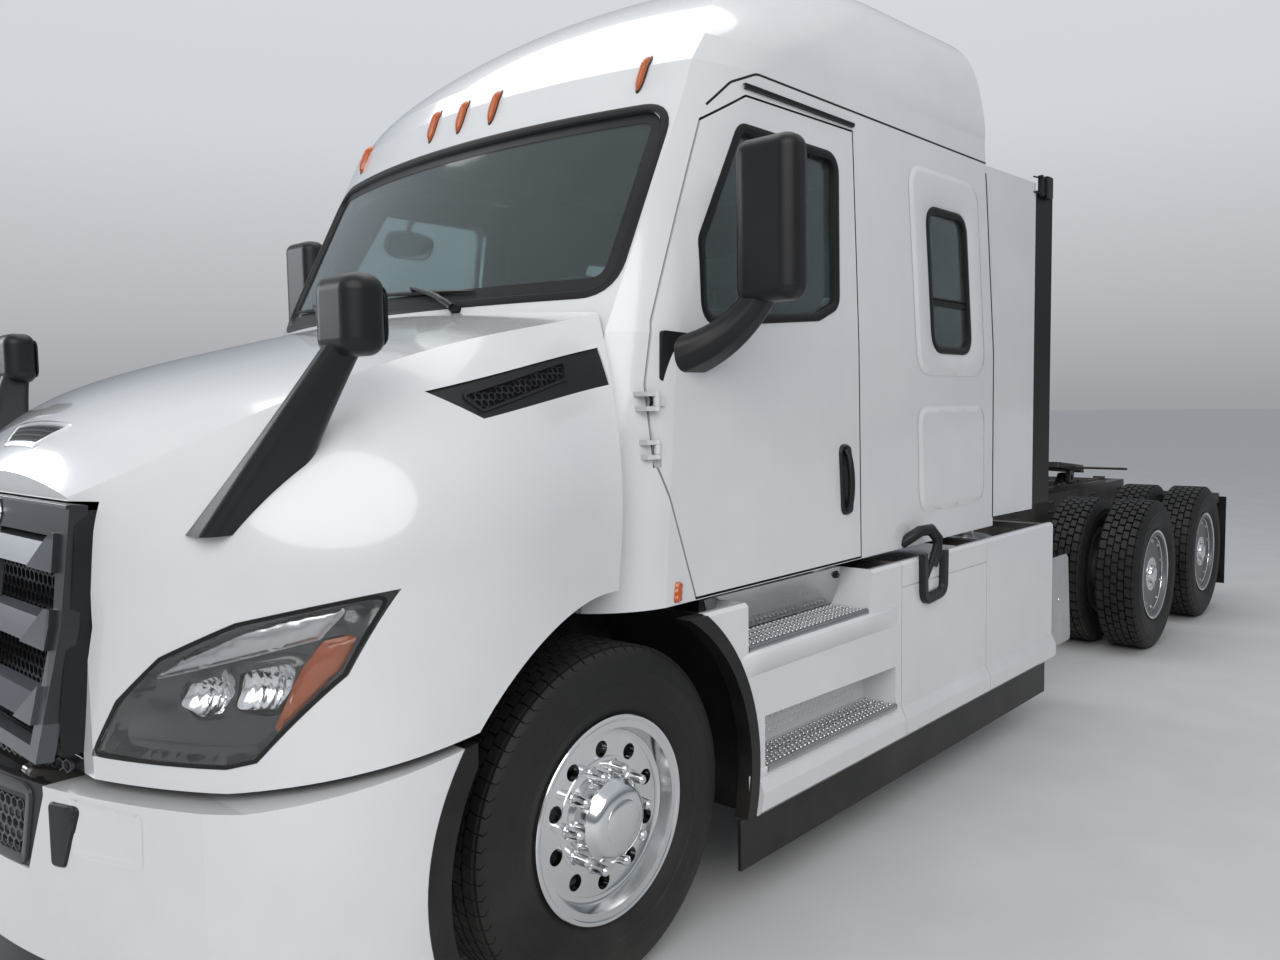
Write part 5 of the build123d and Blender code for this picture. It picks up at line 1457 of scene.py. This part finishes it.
seatX, wheelX, cushionLow, cushionHigh = 0.46, 0.42, 1.515, 1.618
seatCushion = {"bolster": 0.028, "hollow": 0.01, "frontFall": 0.022, "roundness": 0.035, "voxel": 0.012}
seatBack = {"bolster": 0.022, "lumbar": 0.014, "taper": 0.1, "roundness": 0.03, "voxel": 0.012}
headRest = {"roundness": 0.028, "voxel": 0.01}
bunkMattress = {"roundness": 0.045, "voxel": 0.02, "quiltDepth": 0.01, "quiltPitch": 14.5}
padding = {"pressure": 4, "cap": 0.024, "frames": 20, "stiffness": 25}
for hand, side in bothSides:
    middle = side * seatX

    def cushionForm(co):
        across = min(1, abs(co.x - middle) / 0.25)
        front = easeStep(co.y + axleShift, 1.02, 0.9)
        co.z += easeStep(co.z, cushionLow, cushionHigh) * (
            seatCushion["bolster"] * easeStep(across, 0.55, 0.95) - seatCushion["hollow"] * (1 - across ** 2)
            - seatCushion["frontFall"] * front)
        return co

    def backForm(co):
        across = min(1, abs(co.x - middle) / 0.25)
        rise = (co.z - 1.64) / 0.5
        forward = easeStep(co.y + axleShift, 1.52, 1.42)
        co.y -= forward * (seatBack["bolster"] * easeStep(across, 0.55, 0.95)
                           + seatBack["lumbar"] * math.exp(-((rise - 0.3) / 0.2) ** 2))
        co.x = middle + (co.x - middle) * (1 - seatBack["taper"] * easeStep(rise, 0.6, 1))
        return co

    padShape("seatCushion_" + hand, at(middle - 0.245, 0.915, cushionLow), at(middle + 0.245, 1.39, cushionHigh),
             seatCushion["roundness"], seatCushion["voxel"], 0.13, [(1, 1.15 - axleShift)], 0.007, 0.01, cushionForm)
    padShape("seatBack_" + hand, at(middle - 0.245, 1.425, 1.64), at(middle + 0.245, 1.51, 2.11),
             seatBack["roundness"], seatBack["voxel"], 0.13, [(2, 1.8), (2, 1.96)], 0.007, 0.01, backForm)
    padShape("headRest_" + hand, at(middle - 0.135, 1.43, 2.165), at(middle + 0.135, 1.505, 2.305),
             headRest["roundness"], headRest["voxel"], 0.085, [], 0.004, 0.008)
padShape("bunkMattress", at(-0.965, 1.885, 1.515), at(0.965, 2.64, 1.655),
         bunkMattress["roundness"], bunkMattress["voxel"], 0, [(2, 1.585)], 0.008, 0.012)
swellPads(**padding)
for made, start, bottom, lines, depth, width in pads:
    sewChannels(made, lines, depth, width)
    made.data.materials.clear()
    made.data.materials.append(materials["seat_fabric"])
    made.data.shade_smooth()
    if made.name == "bunkMattress":
        for vert in made.data.vertices:
            pitch = bunkMattress["quiltPitch"]
            quilt = abs(math.sin(vert.co.x * pitch)) * abs(math.sin((vert.co.y + axleShift) * pitch))
            vert.co.z -= easeStep(vert.co.z, 1.6, 1.66) * bunkMattress["quiltDepth"] * (1 - quilt ** 0.5)
    else:
        smoother = made.modifiers.new("smoother", "SUBSURF")
        smoother.levels = smoother.render_levels = 1
    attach(made, "chassis")
    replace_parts(made, "bunk" if made.name == "bunkMattress" else "seats")

for hand, side in bothSides:
    middle = side * seatX
    base = MeshParts().box((middle - 0.165, middle + 0.165), (1, 1.35), (1.12, 1.18), 0.008)
    rings = []
    for step in range(25):
        wide = 0.16 - 0.018 * (step % 2)
        rings.append(sided(1, *cutCorners(middle - wide, middle + wide, 1.17 - wide, 1.18 + wide,
                                          1.18 + 0.26 * step / 24, 0.03)))
    base.strips(rings).piece("seatBellows_" + hand, "black_rubber", 50)
    seat = MeshParts().strips([sided(1, *cutCorners(
        middle - 0.235 + a, middle + 0.235 - a, 0.935 + a, 1.4 - a, z, 0.03))
                               for a, z in ((0.03, 1.44), (0, 1.452), (0, 1.5), (0.02, 1.512))], caps=True)
    seat.box((middle - 0.215, middle + 0.215), (1.5, 1.52), (1.6, 2.1), 0.008)
    for x in (middle - 0.06, middle + 0.06):
        seat.tube([at(x, 1.475, 2.08), at(x, 1.475, 2.2)], 0.006, 8)
    for x in (middle - 0.248, middle + 0.248):
        seat.box((x - 0.01, x + 0.01), (1.36, 1.46), (1.46, 1.66), 0.005)
        seat.tube([at(x, y, z) for y, z in ((1.455, 1.78), (1.4, 1.795), (1.2, 1.798), (1.1, 1.79), (1.075, 1.78))],
                  [0.012, 0.022, 0.026, 0.024, 0.012], 12)
    seat.piece("seatFrame_" + hand, "cabin_plastic", 40)

bunk = MeshParts().strips([sided(1, *cutCorners(-0.985 + a, 0.985 - a, 1.87 + a, 2.655 - a, z, 0.02))
                           for a, z in ((0, 1.12), (0, 1.49), (0.006, 1.5), (0.03, 1.504))], caps=True)
for x0, x1 in ((-0.95, -0.34), (-0.31, 0.31), (0.34, 0.95)):
    bunk.strips([[at(x, 1.87 - out, z) for x, z in (
        (x0 + a, 1.17 + a), (x1 - a, 1.17 + a), (x1 - a, 1.44 - a), (x0 + a, 1.44 - a))]
                 for a, out in ((0, 0), (0.002, 0.006), (0.008, 0.009), (0.02, 0.009))], caps=True)
    middle = (x0 + x1) / 2
    bunk.tube([at(middle + x, y, 1.4) for x, y in ((-0.06, 1.862), (-0.05, 1.846), (0.05, 1.846), (0.06, 1.862))],
              0.006, 8)
bunk.piece("bunkBase", "cabin_plastic", 35)

# Dash: gauge hood, screens, air vents, demister slots, wheel pad and stalks
dashFind = castTop("dashboard")
rings = []
for t in (step / 12 for step in range(13)):
    rise = 0.075 * math.sin(math.pi * t) ** 0.6
    rings.append([at(0.2 + 0.44 * t, y, z + rise * share) for y, z, share in (
        (0.3, 1.945, 0.3), (0.36, 1.952, 0.9), (0.44, 1.945, 1), (0.56, 1.925, 1), (0.575, 1.915, 0.9),
        (0.56, 1.905, 0.8))])
dash = MeshParts().strips(rings, closedRing=False)
for step in range(22):
    hit, normal = dashFind((-0.78 + 0.0743 * step, 0.2))
    if hit:
        dash.block(hit + Vector((-0.026, -0.006, 0.0002)), hit + Vector((0.026, 0.006, 0.004)), 0.0018)
for x in (-0.7, -0.3, 0.02, 0.74):
    facePlate(dash, x, 0.6365, 1.775, rectangle(0.06, 0.035), ((1, 0), (1, 0.008), (0.86, 0.009), (0.84, 0.003)))
    for z in (1.752 + 0.014 * row for row in range(4)):
        dash.box((x - 0.05, x + 0.05), (0.632, 0.6415), (z, z + 0.004), 0.001)
dash.piece("dashTrim", "black_plastic", 35)
screens = facePlate(MeshParts(), 0.42, 0.555, 1.925, ((-0.17, -0.04), (0.17, -0.04), (0.15, 0.045), (-0.15, 0.045)),
                    ((1, 0), (1, 0.004), (0.97, 0.005)), caps=True)
facePlate(screens, -0.02, 0.622, 1.89, rectangle(0.1, 0.055), ((1, 0), (1, 0.01), (0.96, 0.012)), caps=True)
screens.piece("dashScreens", "lamp_housing", 35)
wheelPad = MeshParts().spin(
    ((-0.03, 0.03), (-0.022, 0.06), (-0.004, 0.072), (0.012, 0.07), (0.02, 0.058), (0.023, 0.03), (0.024, 0)),
    at(wheelX, 0.76, 1.84), Matrix.Rotation(math.radians(55), 3, "X") @ Vector((0, 0, 1)), 32)
for side in (1, -1):
    wheelPad.tube([at(wheelX + side * x, y, z) for x, y, z in ((0, 0.7, 1.8), (0.1, 0.705, 1.8), (0.17, 0.72, 1.805))],
                  [0.008, 0.008, 0.011], 8)
wheelPad.piece("wheelPad", "black_plastic", 35)

# Door cards: arm rest and pull inside each door
for hand, side in bothSides:
    inside = caster(["door_" + hand], lambda y, z: (side * 0.3, y - axleShift, z), (side, 0, 0))
    hits = [inside((y, 1.62))[0] for y in (0.62, 0.85, 1.1, 1.3)]
    card = MeshParts().tube([hit + Vector((-side * 0.01, 0, 0)) for hit in hits], [0.014, 0.03, 0.032, 0.018], 12)
    card.tube([hits[k] + Vector((-side * x, y, z)) for k, x, y, z in (
        (1, 0.004, -0.1, 0.16), (1, 0.04, -0.05, 0.17), (2, 0.04, 0.02, 0.17), (2, 0.004, 0.06, 0.16))], 0.011, 8)
    card.piece("doorCard_" + hand, "cabin_plastic", 40, "door_" + hand)
print("stage: cabin")
